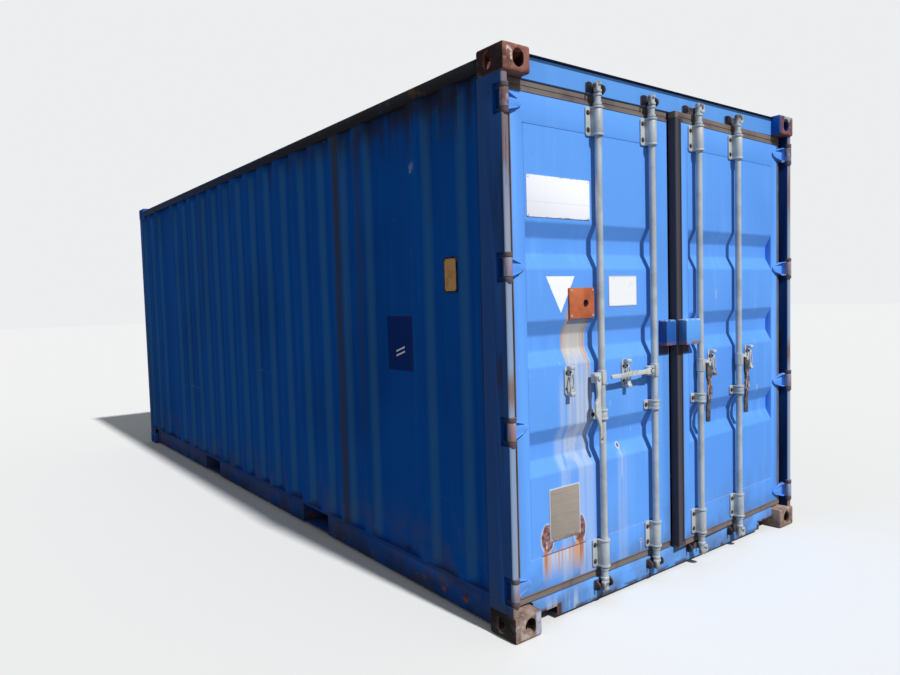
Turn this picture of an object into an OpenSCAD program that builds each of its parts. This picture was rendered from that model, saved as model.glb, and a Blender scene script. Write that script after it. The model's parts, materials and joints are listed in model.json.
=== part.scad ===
// Twenty-foot steel shipping container with two hinged end doors.
// X is the width, +X to the right when facing the doors. +Y runs from the doors to the
// closed front end. Z is up. The origin is on the ground at the middle of the footprint.
// Distances named depth are measured inwards from the plane of the corner castings.

/* [Envelope] */
// Length over the corner castings
length = 6058; // [5200:1:7000]
// Width over the corner castings
width = 2438; // [2400:1:2600]
// Height over the corner castings
height = 2591; // [2438:1:2896]

/* [Corner castings] */
// Size of a casting across the container
casting_x = 162; // [150:1:180]
// Size of a casting along the container
casting_y = 178; // [170:1:200]
// Height of a casting
casting_z = 118; // [110:1:130]
// Thickness of the face with the twist-lock slot
casting_face = 28.5; // [20:0.5:34]
// Thickness of the other walls
casting_wall = 14; // [10:1:20]
// Length of a twist-lock slot
slot_length = 124.5; // [110:0.5:130]
// Width of a twist-lock slot
slot_width = 63.5; // [50:0.5:70]
// Distance of a slot's centre from the side of the container
slot_from_side = 89.5; // [80:0.5:95]
// Distance of a slot's centre from the end of the container
slot_from_end = 102.5; // [95:0.5:110]
// Width of the hole in the side face
side_hole = 51; // [40:1:60]
// Width of the hole in the end face
end_hole = 63.5; // [50:0.5:70]
// Height of the side and end holes
hook_hole_z = 79.5; // [66:0.5:85]

/* [Posts, headers and sills] */
// Wall thickness of the posts, headers and sills
frame_wall = 6; // [4:1:10]
// Depth of the side faces of posts and rails
side_inset = 4; // [2:1:8]
// Width of a door post across the container
post_x = 47; // [45:1:60]
// Width of the rounded front nose of a door post
nose_x = 35; // [30:1:40]
// Depth of the nose's front
nose_depth = 13; // [8:1:16]
// Radius of the rounded edges of a nose
nose_r = 10; // [8:1:14]
// Depth at which the body of a door post starts
post_depth = 75; // [70:1:80]
// Depth of the front face of header and sill
header_depth = 58; // [58:1:60]
// Height of the door header
header_z = 107; // [90:1:112]
// Reach of the rain lip in front of the header
lip_reach = 15; // [5:1:20]
// Ground clearance of the sills
sill_clear = 20; // [12:1:30]
// Top of the sill in front of the door seal
sill_top = 125; // [120:1:125]
// Depth at which the threshold behind the doors starts
threshold_depth = 119; // [119:1:125]
// Height of the notches in the sill beside the castings
notch_z = 45; // [30:1:60]
// Width of the notches in the sill
notch_x = 157; // [100:1:200]
// Width of a front post across the container
front_post_x = 85; // [70:1:110]
// Size of a front post along the container
front_post_y = 94; // [80:1:120]
// Depth of the front face of the closed end's frame
front_inset = 10; // [5:1:15]

/* [Rails and underside] */
// Side of the square top rail
top_rail = 60; // [50:1:70]
// Wall thickness of the top rail
top_rail_wall = 3; // [3:0.5:5]
// Depth of the top rail's upper face below the castings
top_rail_drop = 31; // [25:1:40]
// Plate thickness of the bottom rail
rail_plate = 4.5; // [4:0.5:6]
// Ground clearance of the bottom rail
rail_clear = 14; // [12:1:20]
// Depth of the bottom rail's web
rail_web_depth = 36; // [30:1:44]
// Width of the upper flange of the bottom rail
rail_flange = 48; // [44:1:60]
// Width of the lower flange of the bottom rail
rail_foot = 33; // [25:1:40]
// Distance between the middles of the fork-lift pockets
pocket_spacing = 2050; // [1900:1:2200]
// Width of a fork-lift pocket
pocket_width = 360; // [320:1:380]
// Height of a fork-lift pocket
pocket_height = 115; // [100:1:115]
// Plate thickness of the pockets
pocket_plate = 5; // [4:1:6]
// Width of the strap under the mouth of a pocket
pocket_strap = 200; // [150:1:300]
// Height of the floor's upper face
floor_top = 172; // [172:1:180]
// Thickness of the plywood floor
floor_thickness = 28; // [24:1:30]
// Height of a cross member
member_z = 122; // [110:1:122]
// Flange width of a cross member
member_y = 45; // [40:1:60]
// Plate thickness of a cross member
member_plate = 4; // [3:0.5:5]
// Distance between cross members
member_pitch = 290; // [260:1:320]

/* [Walls and roof] */
// Sheet thickness of walls and roof
sheet = 2; // [1.6:0.2:4]
// Depth of the side wall's outer flats
wall_inset = 8; // [6:1:12]
// Depth of the side wall's folds
wall_fold = 32; // [25:1:36]
// Distance between the ribs of the side wall
wall_pitch = 280; // [270:1:290]
// Width of an outer flat of the side wall
wall_flat = 100; // [70:1:110]
// Width of a slope of the side wall
wall_slope = 60; // [50:1:65]
// Number of ribs outside the wide marking flats at each end
end_ribs = 2; // [1:1:3]
// Depth of the front wall's outer flats
front_wall_inset = 20; // [15:1:25]
// Depth of the front wall's folds
front_fold = 45; // [40:1:46]
// Distance between the ribs of the front wall
front_pitch = 250; // [240:1:260]
// Width of an outer flat of the front wall
front_flat = 110; // [100:1:120]
// Width of a slope of the front wall
front_slope = 18; // [15:1:25]
// Depth of the roof's folds
roof_fold = 20; // [15:1:22]
// Distance between the ribs of the roof
roof_pitch = 209; // [200:1:220]
// Width of a crest of the roof
roof_flat = 91; // [80:1:100]
// Width of a slope of the roof
roof_slope = 14; // [12:1:20]
// Overlap of the roof sheet on each top rail
roof_lap = 50; // [30:1:56]

/* [Doors] */
// Depth of the front face of the door leaves
leaf_depth = 63; // [60:1:66]
// Thickness of a door leaf
leaf_y = 50; // [40:1:52]
// Height of the lower edge of the leaves
leaf_bottom = 166; // [160:1:180]
// Distance from the top of the container to the upper edge of the leaves
leaf_drop = 163; // [155:1:170]
// Height of a leaf's bottom member
leaf_bottom_z = 154; // [120:1:180]
// Height of a leaf's top member
leaf_top_z = 138; // [100:1:180]
// Width of a leaf's hinge-side member
leaf_outer_x = 79; // [70:1:90]
// Distance of the inner members' outer side from the middle of the container
leaf_inner_x = 115; // [105:1:125]
// Half of the gap between the leaves
meeting_gap = 9; // [9:1:12]
// Width of the seal on the free edge of the right leaf
meeting_seal = 43; // [30:1:48]
// Wall thickness of the leaf members
leaf_wall = 4; // [3:0.5:5]
// Reach of the seal beyond the hinge side of a leaf
seal_side = 29; // [20:1:30]
// Reach of the seal above and below a leaf
seal_end = 36; // [25:1:36]
// Depth of the seal's front face
seal_depth = 72; // [70:1:80]
// Thickness of the seal
seal_y = 38; // [25:1:40]
// Gap between a door post and the seal
seal_gap = 8; // [6:1:12]
// Heights of the middles of the recesses in the leaves
recess_z = [802, 1303, 1750];
// Depth of a recess
recess_depth = 36; // [25:1:40]
// Height of the inner flat of a recess
recess_flat = 71; // [60:1:80]
// Height of each slope of a recess
recess_slope = 70; // [60:1:75]
// Angle at which the right leaf stands ajar
ajar = 2.2; // [0:0.1:5]

/* [Hinges] */
// Distance of the hinge pins from the side of the container
pin_from_side = 24; // [22:1:26]
// Depth of the hinge pins
pin_depth = 22; // [20:1:24]
// Radius of a hinge pin
pin_r = 9; // [8:0.5:10]
// Running clearance around a hinge pin
pin_clear = 0.5; // [0.3:0.1:1]
// Radius of the hinge knuckles and lugs
knuckle_r = 19; // [16:1:19]
// Height of a knuckle
knuckle_z = 80; // [60:1:90]
// Height of a lug
lug_z = 22; // [15:1:26]
// Width of the plate that joins a lug to the post
lug_x = 24; // [20:1:26]
// Gap between knuckle and lug
lug_gap = 2; // [1:0.5:3]
// Height of the lowest hinge
hinge_low = 225; // [215:1:260]
// Distance from the top of the container to the highest hinge
hinge_drop = 229; // [225:1:260]
// Number of hinges on a leaf
hinge_count = 4; // [3:1:5]
// Thickness of a hinge blade
blade_y = 14; // [10:1:16]
// Reach of a hinge blade beyond the pin
blade_reach = 130; // [110:1:140]
// Reach of a hinge blade behind the pin
blade_back = 8; // [4:1:12]
// Reach of the block between knuckle and blade beyond the pin
blade_root = 14; // [10:1:18]

/* [Locking bars] */
// Distance of the outer locking bar from the middle of the container
outer_bar = 592; // [560:1:620]
// Distance of the inner locking bar from the middle of the container
inner_bar = 178; // [174:1:190]
// Depth of the axis of the locking bars
bar_depth = 32; // [30:1:34]
// Radius of a locking bar
bar_r = 17; // [14:0.5:17]
// Running clearance of a locking bar in its housings
bar_clear = 0.6; // [0.4:0.1:1]
// Radius of a collar on a locking bar
collar_r = 21; // [20:0.5:21]
// Height of a collar
collar_z = 14; // [8:1:20]
// Gap between a collar and the housing beside it
collar_gap = 4; // [2:1:6]
// Height of a cam
cam_z = 48; // [40:1:64]
// Distance of the cams from the level where the corner castings end
cam_inset = 1; // [0:1:4]
// Distance of a cam from the end of its bar
cam_end = 4; // [2:1:6]
// Gap between a cam and the collar beside it
cam_gap = 2; // [1:1:4]
// Height of each finger of a cam
cam_finger = 16; // [10:1:20]
// Thickness of the web that joins the fingers
cam_web = 10; // [6:1:11]
// Reach of the fingers past the axis of the bar
cam_tail = 8; // [4:1:12]
// Reach of a cam beside the axis of its bar
cam_reach = 29; // [25:1:29]
// Reach of a cam in front of the axis of its bar
cam_front = 22; // [18:1:22]
// Inner gap of a keeper
keeper_gap = 84; // [84:1:92]
// Thickness of a keeper's cheek
keeper_cheek = 14; // [8:1:16]
// Reach of a keeper in front of header and sill
keeper_y = 44; // [30:1:50]
// Outer radius of a housing
housing_r = 28; // [24:1:29]
// Height of an end housing
housing_z = 137; // [110:1:150]
// Distance of an end housing from the end of its leaf
housing_inset = 18; // [0:1:30]
// Height of a guide bracket at the middle of a bar
guide_z = 50; // [40:1:60]
// Height of the middle of the guide brackets
guide_at = 940; // [900:1:960]
// Width of a housing over its flanges
housing_x = 116; // [100:1:130]
// Thickness of a flange
flange_y = 8; // [6:1:10]

/* [Handles] */
// Height of the handle pivots
handle_at = 1120; // [1090:1:1150]
// Distance of a handle's pivot from the axis of its bar
pivot_offset = 48; // [46:1:54]
// Depth of the front face of a handle
handle_depth = 6; // [4:1:8]
// Thickness of a handle
handle_y = 12; // [8:1:12]
// Length of a handle beyond its pivot
handle_length = 318; // [250:1:330]
// Width of a handle
handle_x = 26; // [20:1:30]
// Sideways step of a handle
handle_step = 22; // [10:1:24]
// Distance of the step from a handle's pivot
step_at = 215; // [212:1:222]
// Radius of a handle around its pivot
hub_r = 16; // [14:1:18]
// Radius of a handle's pivot pin
pivot_r = 6; // [5:0.5:8]
// Running clearance of a handle's pivot pin
pivot_clear = 0.4; // [0.3:0.1:0.8]
// Radius of the head of a pivot pin
pivot_head_r = 12; // [10:1:14]
// Thickness of the head of a pivot pin
pivot_head = 5; // [3:1:5]
// Gap between a handle and the bracket or head beside it
handle_gap = 1; // [0.5:0.5:1]
// Height of the bracket that carries a handle
bracket_z = 50; // [40:1:60]
// Thickness of the bracket
bracket_y = 27; // [20:1:30]
// Reach of the bracket past the pivot
bracket_end = 16; // [14:1:18]
// Height of the boss around the bar at the bracket
boss_z = 70; // [56:1:80]
// Distance of the catches on the left leaf from the axis of the bar
catch_left = 206; // [180:1:220]
// Distance of the catches on the right leaf from the axis of the bar
catch_right = 145; // [140:1:150]
// Height of a catch
catch_z = 145; // [120:1:160]
// Width of a catch
catch_x = 52; // [40:1:60]
// Width of the ears of a catch
ear_x = 28; // [20:1:36]
// Height of the ears of a catch
ear_z = 20; // [14:1:24]
// Gap between the ears and a handle that lies before them
ear_gap = 6; // [6:1:10]

/* [Lock box and plates] */
// Height of the lower edge of the lock box
box_low = 1240; // [1200:1:1280]
// Height of the lock box
box_z = 135; // [110:1:150]
// Depth of the front of the lock box
box_depth = 12; // [8:1:20]
// Width of the left half of the lock box
box_left = 84; // [60:1:90]
// Width of the right half of the lock box
box_right = 138; // [110:1:138]
// Gap between a half of the lock box and the middle of the container
box_gap = 12; // [12:1:20]
// Plate thickness of the lock box
box_plate = 5; // [3:1:6]
// Thickness of the sign, the data plate and the side plate
plate_y = 3; // [2:0.5:4]
// Distance of the white sign's outer side from the middle of the container
sign_at = 1041; // [1000:1:1060]
// Height of the lower edge of the white sign
sign_low = 1876; // [1870:1:1900]
// Width of the white sign
sign_x = 414; // [350:1:450]
// Height of the white sign
sign_z = 186; // [150:1:200]
// Distance of the data plate's outer side from the middle of the container
data_at = 937; // [900:1:960]
// Height of the lower edge of the data plate
data_low = 375; // [330:1:400]
// Width of the data plate
data_x = 206; // [180:1:230]
// Height of the data plate
data_z = 250; // [220:1:270]
// Distance of the rusty plate's outer side from the middle of the container
bolted_at = 785; // [770:1:800]
// Height of the lower edge of the rusty bolted plate
bolted_low = 1410; // [1410:1:1430]
// Width of the rusty bolted plate
bolted_x = 172; // [150:1:180]
// Height of the rusty bolted plate
bolted_z = 145; // [130:1:155]
// Thickness of the rusty bolted plate
bolted_y = 10; // [6:1:12]
// Height of the lower edge of the orange plate on the side wall
side_plate_low = 1550; // [1500:1:1600]
// Width of the orange plate on the side wall
side_plate_x = 100; // [80:1:100]
// Height of the orange plate on the side wall
side_plate_z = 165; // [150:1:180]

/* [Hidden] */
// Depth to which joined shapes enter each other
sink = 2;

blue = [0.11, 0.34, 0.72];
dark_blue = [0.06, 0.16, 0.34];
zinc = [0.62, 0.64, 0.64];
rubber = [0.19, 0.17, 0.18];
rust = [0.45, 0.22, 0.13];
wood = [0.45, 0.33, 0.2];
white = [0.93, 0.93, 0.95];
tan_plate = [0.56, 0.52, 0.47];
orange = [0.75, 0.45, 0.1];

half_x = width / 2;
half_y = length / 2;
inner_x = half_x - casting_x;
inner_y = half_y - casting_y;
post_top = height - casting_z;
rail_top = height - top_rail_drop;
wall_top = rail_top - top_rail;
front_start = half_y - front_inset - front_post_y;
front_wall_x = half_x - side_inset - front_post_x;
leaf_top = height - leaf_drop;
pin_x = half_x - pin_from_side;
pin_y = -half_y + pin_depth;
leaf_face = leaf_depth - pin_depth;
leaf_edge = pin_x - (half_x - post_x - side_inset) + seal_gap + seal_side;
leaf_side_end = leaf_edge + leaf_outer_x;
leaf_inner_start = pin_x - leaf_inner_x;
free_left = pin_x - meeting_gap;
free_right = free_left - meeting_seal;
bar_y = bar_depth - pin_depth;
bar_at = [pin_x - outer_bar, pin_x - inner_bar];
hinge_step = (height - hinge_drop - hinge_low) / (hinge_count - 1);
hinge_at = [for (i = [0:hinge_count - 1]) hinge_low + i * hinge_step];
knuckle_half = knuckle_z / 2;
lug_half = knuckle_half + lug_gap + lug_z;
housing_low = leaf_bottom + housing_inset;
housing_high = leaf_top - housing_inset - housing_z;
bar_end = casting_z - cam_inset - cam_z - cam_end;
floor_bottom = floor_top - floor_thickness;
pocket_top = floor_bottom - pocket_plate;
pocket_low = pocket_top - pocket_height;
pocket_side = pocket_width / 2;
pocket_at = pocket_spacing / 2;
web_x = half_x - rail_web_depth;

// A rectangular tube between two corners, open along one axis: 0 is X, 1 is Y, 2 is Z
module tube(low, high, wall, along) {
    margin = [for (i = [0:2]) i == along ? -1 : wall];
    difference() {
        translate(low) cube(high - low);
        translate(low + margin) cube(high - low - 2 * margin);
    }
}

module block(low, high) {
    translate(low) cube(high - low);
}

// Points of a folded sheet: flats at the level peak stand at the centres, the rest is at base
function folds(centres, flat, slope, base, peak) = [
    for (c = centres, p = [[-flat / 2 - slope, base], [-flat / 2, peak],
                           [flat / 2, peak], [flat / 2 + slope, base]]) [c + p[0], p[1]]];

function thickened(points, t) = concat(points,
    [for (i = [len(points) - 1:-1:0]) points[i] + [0, t]]);

function swapped(points) = [for (p = points) [p[1], p[0]]];

// Centres of ribs at half pitches on both sides of the middle
function rib_centres(middle, pitch, count, left_out) = [
    for (i = [-count:count - 1]) if (round(abs(i + 0.5) - 0.5) != left_out)
        middle + (i + 0.5) * pitch];

function rib_count(span, pitch, flat, slope) =
    floor((span / 2 - 2 * slope - flat / 2 - pitch / 2) / pitch) + 1;

// A casting with its outer corner at the origin and its slotted face on the ground
module casting() {
    hook_z = casting_z / 2;
    difference() {
        cube([casting_x, casting_y, casting_z]);
        block([casting_wall, casting_wall, casting_face],
              [casting_x - casting_wall, casting_y - casting_wall, casting_z - casting_wall]);
        translate([slot_from_side, slot_from_end, -1])
            obround(slot_width, slot_length, casting_face + 2);
        translate([-1, slot_from_end, hook_z]) rotate([90, 0, 90])
            obround(side_hole, hook_hole_z, casting_wall + 2);
        translate([slot_from_side, casting_wall + 1, hook_z]) rotate([90, 0, 0])
            obround(end_hole, hook_hole_z, casting_wall + 2);
    }
}

// A hole with round ends, long in Y, cut upwards from the ground
module obround(across, along, tall) {
    reach = (along - across) / 2;
    for (s = [-1, 1]) translate([0, s * reach, 0]) cylinder(h = tall, d = across, $fn = 64);
    translate([-across / 2, -reach, 0]) cube([across, 2 * reach, tall]);
}

module four_castings() {
    for (x = [0, 1], y = [0, 1]) mirror([x, 0, 0]) mirror([0, y, 0])
        translate([-half_x, -half_y, 0]) casting();
}

module castings_bottom() {
    color(rust) four_castings();
}

module castings_top() {
    color(rust) translate([0, 0, height]) mirror([0, 0, 1]) four_castings();
}

// The nose has its gaps at the hinges, where the lugs stand
function nose_spans() = [for (i = [0:hinge_count])
    [i == 0 ? casting_z : hinge_at[i - 1] + lug_half,
     i == hinge_count ? post_top : hinge_at[i] - lug_half]];

module door_post() {
    x0 = -half_x + side_inset;
    y0 = -half_y + nose_depth;
    y1 = -half_y + post_depth;
    tube([x0, y1, casting_z], [x0 + post_x, -inner_y, post_top], frame_wall, 2);
    for (z = nose_spans()) difference() {
        union() {
            block([x0, y0 + nose_r, z[0]], [x0 + nose_x, y1, z[1]]);
            block([x0 + nose_r, y0, z[0]], [x0 + nose_x - nose_r, y1, z[1]]);
            for (x = [nose_r, nose_x - nose_r]) translate([x0 + x, y0 + nose_r, z[0]])
                cylinder(h = z[1] - z[0], r = nose_r, $fn = 48);
        }
        block([x0 + frame_wall, y0 + frame_wall, z[0] + frame_wall],
              [x0 + nose_x - frame_wall, y1, z[1] - frame_wall]);
    }
}

module door_post_left() {
    color(dark_blue) door_post();
}

module door_post_right() {
    color(dark_blue) mirror([1, 0, 0]) door_post();
}

module front_post() {
    x0 = -half_x + side_inset;
    tube([x0, front_start, casting_z], [x0 + front_post_x, half_y - front_inset, post_top],
         frame_wall, 2);
}

module front_post_left() {
    color(blue) front_post();
}

module front_post_right() {
    color(blue) mirror([1, 0, 0]) front_post();
}

module door_header() {
    y0 = -half_y + header_depth;
    color(blue) {
        tube([-inner_x, y0, post_top], [inner_x, -inner_y, post_top + header_z], frame_wall, 0);
        block([-inner_x, y0 - lip_reach, post_top + header_z - frame_wall],
              [inner_x, y0 + frame_wall, post_top + header_z]);
    }
}

module door_sill() {
    y0 = -half_y + header_depth;
    color(blue) difference() {
        union() {
            tube([-inner_x, y0, sill_clear], [inner_x, -inner_y, sill_top], frame_wall, 0);
            tube([-inner_x, -half_y + threshold_depth, sill_top - frame_wall],
                 [inner_x, -inner_y, floor_top], frame_wall, 0);
        }
        for (s = [0, 1]) mirror([s, 0, 0])
            block([inner_x - notch_x, y0 - 1, sill_clear - 1],
                  [inner_x + 1, 1 - inner_y, sill_clear + notch_z]);
    }
}

module front_header() {
    color(blue) tube([-inner_x, inner_y, post_top],
        [inner_x, half_y - front_inset, post_top + header_z], frame_wall, 0);
}

// The plates that close a corner between the lower casting, the post and the walls
module corner_plates() {
    side = half_x - wall_inset;
    front = half_y - front_inset;
    cover = floor_top - frame_wall;
    block([inner_x, inner_y, cover], [front_wall_x, front, floor_top]);
    block([inner_x, inner_y, cover], [side, front_start, floor_top]);
    block([inner_x, front - frame_wall, casting_z], [front_wall_x, front, floor_top]);
    block([side - frame_wall, inner_y, casting_z], [side, front_start, floor_top]);
}

module front_sill() {
    color(blue) {
        tube([-inner_x, inner_y, sill_clear], [inner_x, half_y - front_inset, floor_top],
             frame_wall, 0);
        for (s = [0, 1]) mirror([s, 0, 0]) corner_plates();
    }
}

module top_side_rail() {
    x0 = -half_x + side_inset;
    tube([x0, -inner_y, wall_top], [x0 + top_rail, inner_y, rail_top], top_rail_wall, 1);
}

module top_rail_left() {
    color(blue) top_side_rail();
}

module top_rail_right() {
    color(blue) mirror([1, 0, 0]) top_side_rail();
}

// The flange under the wall and the web down to the pockets
module bottom_side_rail() {
    lip_x = -half_x + wall_inset;
    block([-web_x, -inner_y, pocket_top], [rail_plate - web_x, inner_y, floor_top]);
    block([lip_x, -inner_y, floor_top - rail_plate],
          [lip_x + rail_flange, inner_y, floor_top]);
}

// The web and the foot under the rail, left out at the pockets
module rail_webs() {
    for (y = [[-inner_y, -pocket_at - pocket_side],
              [pocket_side - pocket_at, pocket_at - pocket_side],
              [pocket_at + pocket_side, inner_y]]) {
        block([-web_x, y[0], rail_clear], [rail_plate - web_x, y[1], pocket_top]);
        block([-web_x, y[0], rail_clear], [rail_foot - web_x, y[1], rail_clear + rail_plate]);
    }
}

module bottom_rail_left() {
    color(blue) bottom_side_rail();
}

module bottom_rail_right() {
    color(blue) mirror([1, 0, 0]) bottom_side_rail();
}

module rail_webs_left() {
    color(blue) rail_webs();
}

module rail_webs_right() {
    color(blue) mirror([1, 0, 0]) rail_webs();
}

wall_start = -inner_y;
wall_middle = (wall_start + front_start) / 2;
wall_ribs = rib_count(front_start - wall_start, wall_pitch, wall_flat, wall_slope);
function side_points() = concat(
    [[wall_start, 0], [wall_start + wall_slope, wall_fold]],
    folds(rib_centres(wall_middle, wall_pitch, wall_ribs, wall_ribs - 1 - end_ribs),
          wall_flat, wall_slope, wall_fold, 0),
    [[front_start - wall_slope, wall_fold], [front_start, 0]]);

// The wall is cut out around the upper casting at the closed end
module side_wall() {
    difference() {
        translate([-half_x + wall_inset, 0, floor_top]) linear_extrude(wall_top - floor_top)
            polygon(swapped(thickened(side_points(), sheet)));
        block([-half_x, inner_y, post_top], [-inner_x, half_y, height]);
    }
}

module side_wall_left() {
    color(blue) side_wall();
}

module side_wall_right() {
    color(blue) mirror([1, 0, 0]) side_wall();
}

front_ribs = rib_count(2 * front_wall_x, front_pitch, front_flat, front_slope);
function front_points() = concat(
    [[-front_wall_x, 0], [front_slope - front_wall_x, -front_fold]],
    folds(rib_centres(0, front_pitch, front_ribs, -1), front_flat, front_slope, -front_fold, 0),
    [[front_wall_x - front_slope, -front_fold], [front_wall_x, 0]]);

module front_wall() {
    color(blue) translate([0, half_y - front_wall_inset, floor_top])
        linear_extrude(post_top - floor_top) polygon(thickened(front_points(), -sheet));
}

roof_x = half_x - side_inset - top_rail + roof_lap;
roof_ribs = rib_count(2 * inner_y, roof_pitch, roof_flat, roof_slope);
function roof_points() = concat(
    [[-inner_y, roof_fold], [roof_slope - inner_y, 0]],
    folds(rib_centres(0, roof_pitch, roof_ribs, -1), roof_flat, roof_slope, 0, roof_fold),
    [[inner_y - roof_slope, 0], [inner_y, roof_fold]]);

module roof() {
    color(blue) translate([-roof_x, 0, rail_top]) rotate([90, 0, 90])
        linear_extrude(2 * roof_x) polygon(thickened(roof_points(), sheet));
}

module floor() {
    x = half_x - wall_inset - rail_flange;
    color(wood) block([-x, -inner_y, floor_bottom], [x, inner_y, floor_top]);
}

member_end = web_x - rail_plate;
function member_places() = [for (i = [-floor(inner_y / member_pitch):floor(inner_y / member_pitch)])
    let (y = i * member_pitch)
    if (abs(y) < inner_y - member_y
        && abs(abs(y) - pocket_at) > pocket_side + pocket_plate + member_y) y];

module cross_members() {
    low = floor_bottom - member_z;
    color(dark_blue) for (y = member_places()) {
        block([-member_end, y, low], [member_end, y + member_plate, floor_bottom]);
        for (z = [low, floor_bottom - member_plate])
            block([-member_end, y, z], [member_end, y + member_y, z + member_plate]);
    }
}

module pocket_sides() {
    color(dark_blue) for (y = [-pocket_at, pocket_at],
                          start = [-pocket_side - pocket_plate, pocket_side])
        block([-member_end, y + start, pocket_low - pocket_plate],
              [member_end, y + start + pocket_plate, pocket_top]);
}

module pocket_tops() {
    half = pocket_side + pocket_plate;
    color(dark_blue) for (y = [-pocket_at, pocket_at])
        block([-member_end, y - half, pocket_top], [member_end, y + half, floor_bottom]);
}

// The pockets are closed below at their mouths
module pocket_straps() {
    color(dark_blue) for (y = [-pocket_at, pocket_at], x = [-member_end, member_end - pocket_strap])
        block([x, y - pocket_side, pocket_low - pocket_plate],
              [x + pocket_strap, y + pocket_side, pocket_low]);
}

// Two cheeks on the header or sill beside each cam
module keepers() {
    y0 = -half_y + header_depth - keeper_y;
    cam_at = bar_end + cam_end + cam_z / 2;
    color(zinc) for (x = [-outer_bar, -inner_bar, inner_bar, outer_bar],
                     z = [cam_at, height - cam_at], s = [-1, 1])
        translate([x + s * (keeper_gap + keeper_cheek) / 2, 0, z])
            block([-keeper_cheek / 2, y0, -cam_z / 2],
                  [keeper_cheek / 2, -half_y + header_depth, cam_z / 2]);
}

// Each hinge has two lugs on the post that hold the pin between them
module hinge_lugs() {
    color(zinc) for (z = hinge_at) translate([-pin_x, pin_y, z]) {
        translate([0, 0, -lug_half]) cylinder(h = 2 * lug_half, r = pin_r, $fn = 48);
        for (low = [-lug_half, knuckle_half + lug_gap]) translate([0, 0, low]) {
            cylinder(h = lug_z, r = knuckle_r, $fn = 64);
            block([-lug_x / 2, 0, 0], [lug_x / 2, post_depth - pin_depth, lug_z]);
        }
    }
}

module hinge_lugs_left() {
    hinge_lugs();
}

module hinge_lugs_right() {
    mirror([1, 0, 0]) hinge_lugs();
}

module side_plate() {
    place = rib_centres(wall_middle, wall_pitch, wall_ribs, -1)[0];
    color(orange) translate([-half_x + wall_inset, place, side_plate_low])
        block([-plate_y, -side_plate_x / 2, 0], [0, side_plate_x / 2, side_plate_z]);
}

// A leaf is drawn from its hinge pin: X towards its free edge and Y into the container.
// place_left and place_right put a leaf's pieces in the container.
module place_left() {
    translate([-pin_x, pin_y, 0]) children();
}

module place_right() {
    translate([pin_x, pin_y, 0]) rotate([0, 0, ajar]) mirror([1, 0, 0]) children();
}

// Hollow members around the panel. Their inside is open at the top and bottom, under the seal.
module leaf_frame(free_edge) {
    y0 = leaf_face;
    y1 = leaf_face + leaf_y;
    w = leaf_wall;
    z0 = leaf_bottom;
    z1 = leaf_bottom + leaf_bottom_z;
    z2 = leaf_top - leaf_top_z;
    z3 = leaf_top;
    difference() {
        block([leaf_edge, y0, z0], [free_edge, y1, z3]);
        block([leaf_side_end, y0 - 1, z1], [leaf_inner_start, y1 + 1, z2]);
        block([leaf_edge + w, y0 + w, z0 - 1], [leaf_side_end - w, y1 - w, z3 + 1]);
        block([leaf_inner_start + w, y0 + w, z0 - 1], [free_edge - w, y1 - w, z3 + 1]);
        block([leaf_edge + w, y0 + w, z0 + w], [free_edge - w, y1 - w, z1 - w]);
        block([leaf_edge + w, y0 + w, z2 + w], [free_edge - w, y1 - w, z3 - w]);
    }
}

function panel_points() = concat(
    [[leaf_bottom + leaf_bottom_z, 0]],
    folds(recess_z, recess_flat, recess_slope, 0, recess_depth),
    [[leaf_top - leaf_top_z, 0]]);

module leaf_panel() {
    translate([leaf_inner_start, leaf_face, 0]) rotate([0, -90, 0])
        linear_extrude(leaf_inner_start - leaf_side_end)
            polygon(thickened(panel_points(), sheet));
}

// A frame of rubber around the leaf, or around three sides of it
module seal(free_edge, reach) {
    y0 = seal_depth - pin_depth;
    difference() {
        block([leaf_edge - seal_side, y0, leaf_bottom - seal_end],
              [free_edge + reach, y0 + seal_y, leaf_top + seal_end]);
        block([leaf_edge, y0 - 1, leaf_bottom],
              [free_edge + (reach == 0 ? 1 : 0), y0 + seal_y + 1, leaf_top]);
    }
}

module hinge_blades() {
    y1 = leaf_face;
    y0 = y1 - blade_y;
    for (z = hinge_at) translate([0, 0, z - knuckle_half]) difference() {
        union() {
            cylinder(h = knuckle_z, r = knuckle_r, $fn = 64);
            block([-blade_back, 0, 0], [blade_root, y1, knuckle_z]);
            block([-blade_back, y0, 0], [blade_reach, y1, knuckle_z]);
        }
        translate([0, 0, -1]) cylinder(h = knuckle_z + 2, r = pin_r + pin_clear, $fn = 48);
    }
}

// A bracket whose bore carries a locking bar, with bolted flanges on the leaf
module housing(tall) {
    reach = leaf_face - bar_y;
    difference() {
        union() {
            cylinder(h = tall, r = housing_r, $fn = 64);
            block([-housing_r, 0, 0], [housing_r, reach, tall]);
            block([-housing_x / 2, reach - flange_y, 0], [housing_x / 2, reach, tall]);
        }
        translate([0, 0, -1]) cylinder(h = tall + 2, r = bar_r + bar_clear, $fn = 64);
    }
}

module housings() {
    for (x = bar_at) translate([x, bar_y, 0]) {
        translate([0, 0, housing_low]) housing(housing_z);
        translate([0, 0, guide_at - guide_z / 2]) housing(guide_z);
        translate([0, 0, housing_high]) housing(housing_z);
    }
}

// A plate with two ears that hold the handle's bar from behind
module catches(from_bar) {
    y_ear = handle_depth + handle_y + ear_gap - pin_depth;
    for (x = bar_at) translate([x - from_bar, 0, handle_at - catch_z / 2]) {
        block([-catch_x / 2, leaf_face - flange_y, 0], [catch_x / 2, leaf_face, catch_z]);
        for (z = [0, catch_z - ear_z])
            block([-ear_x / 2, y_ear, z], [ear_x / 2, leaf_face, z + ear_z]);
    }
}

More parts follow.
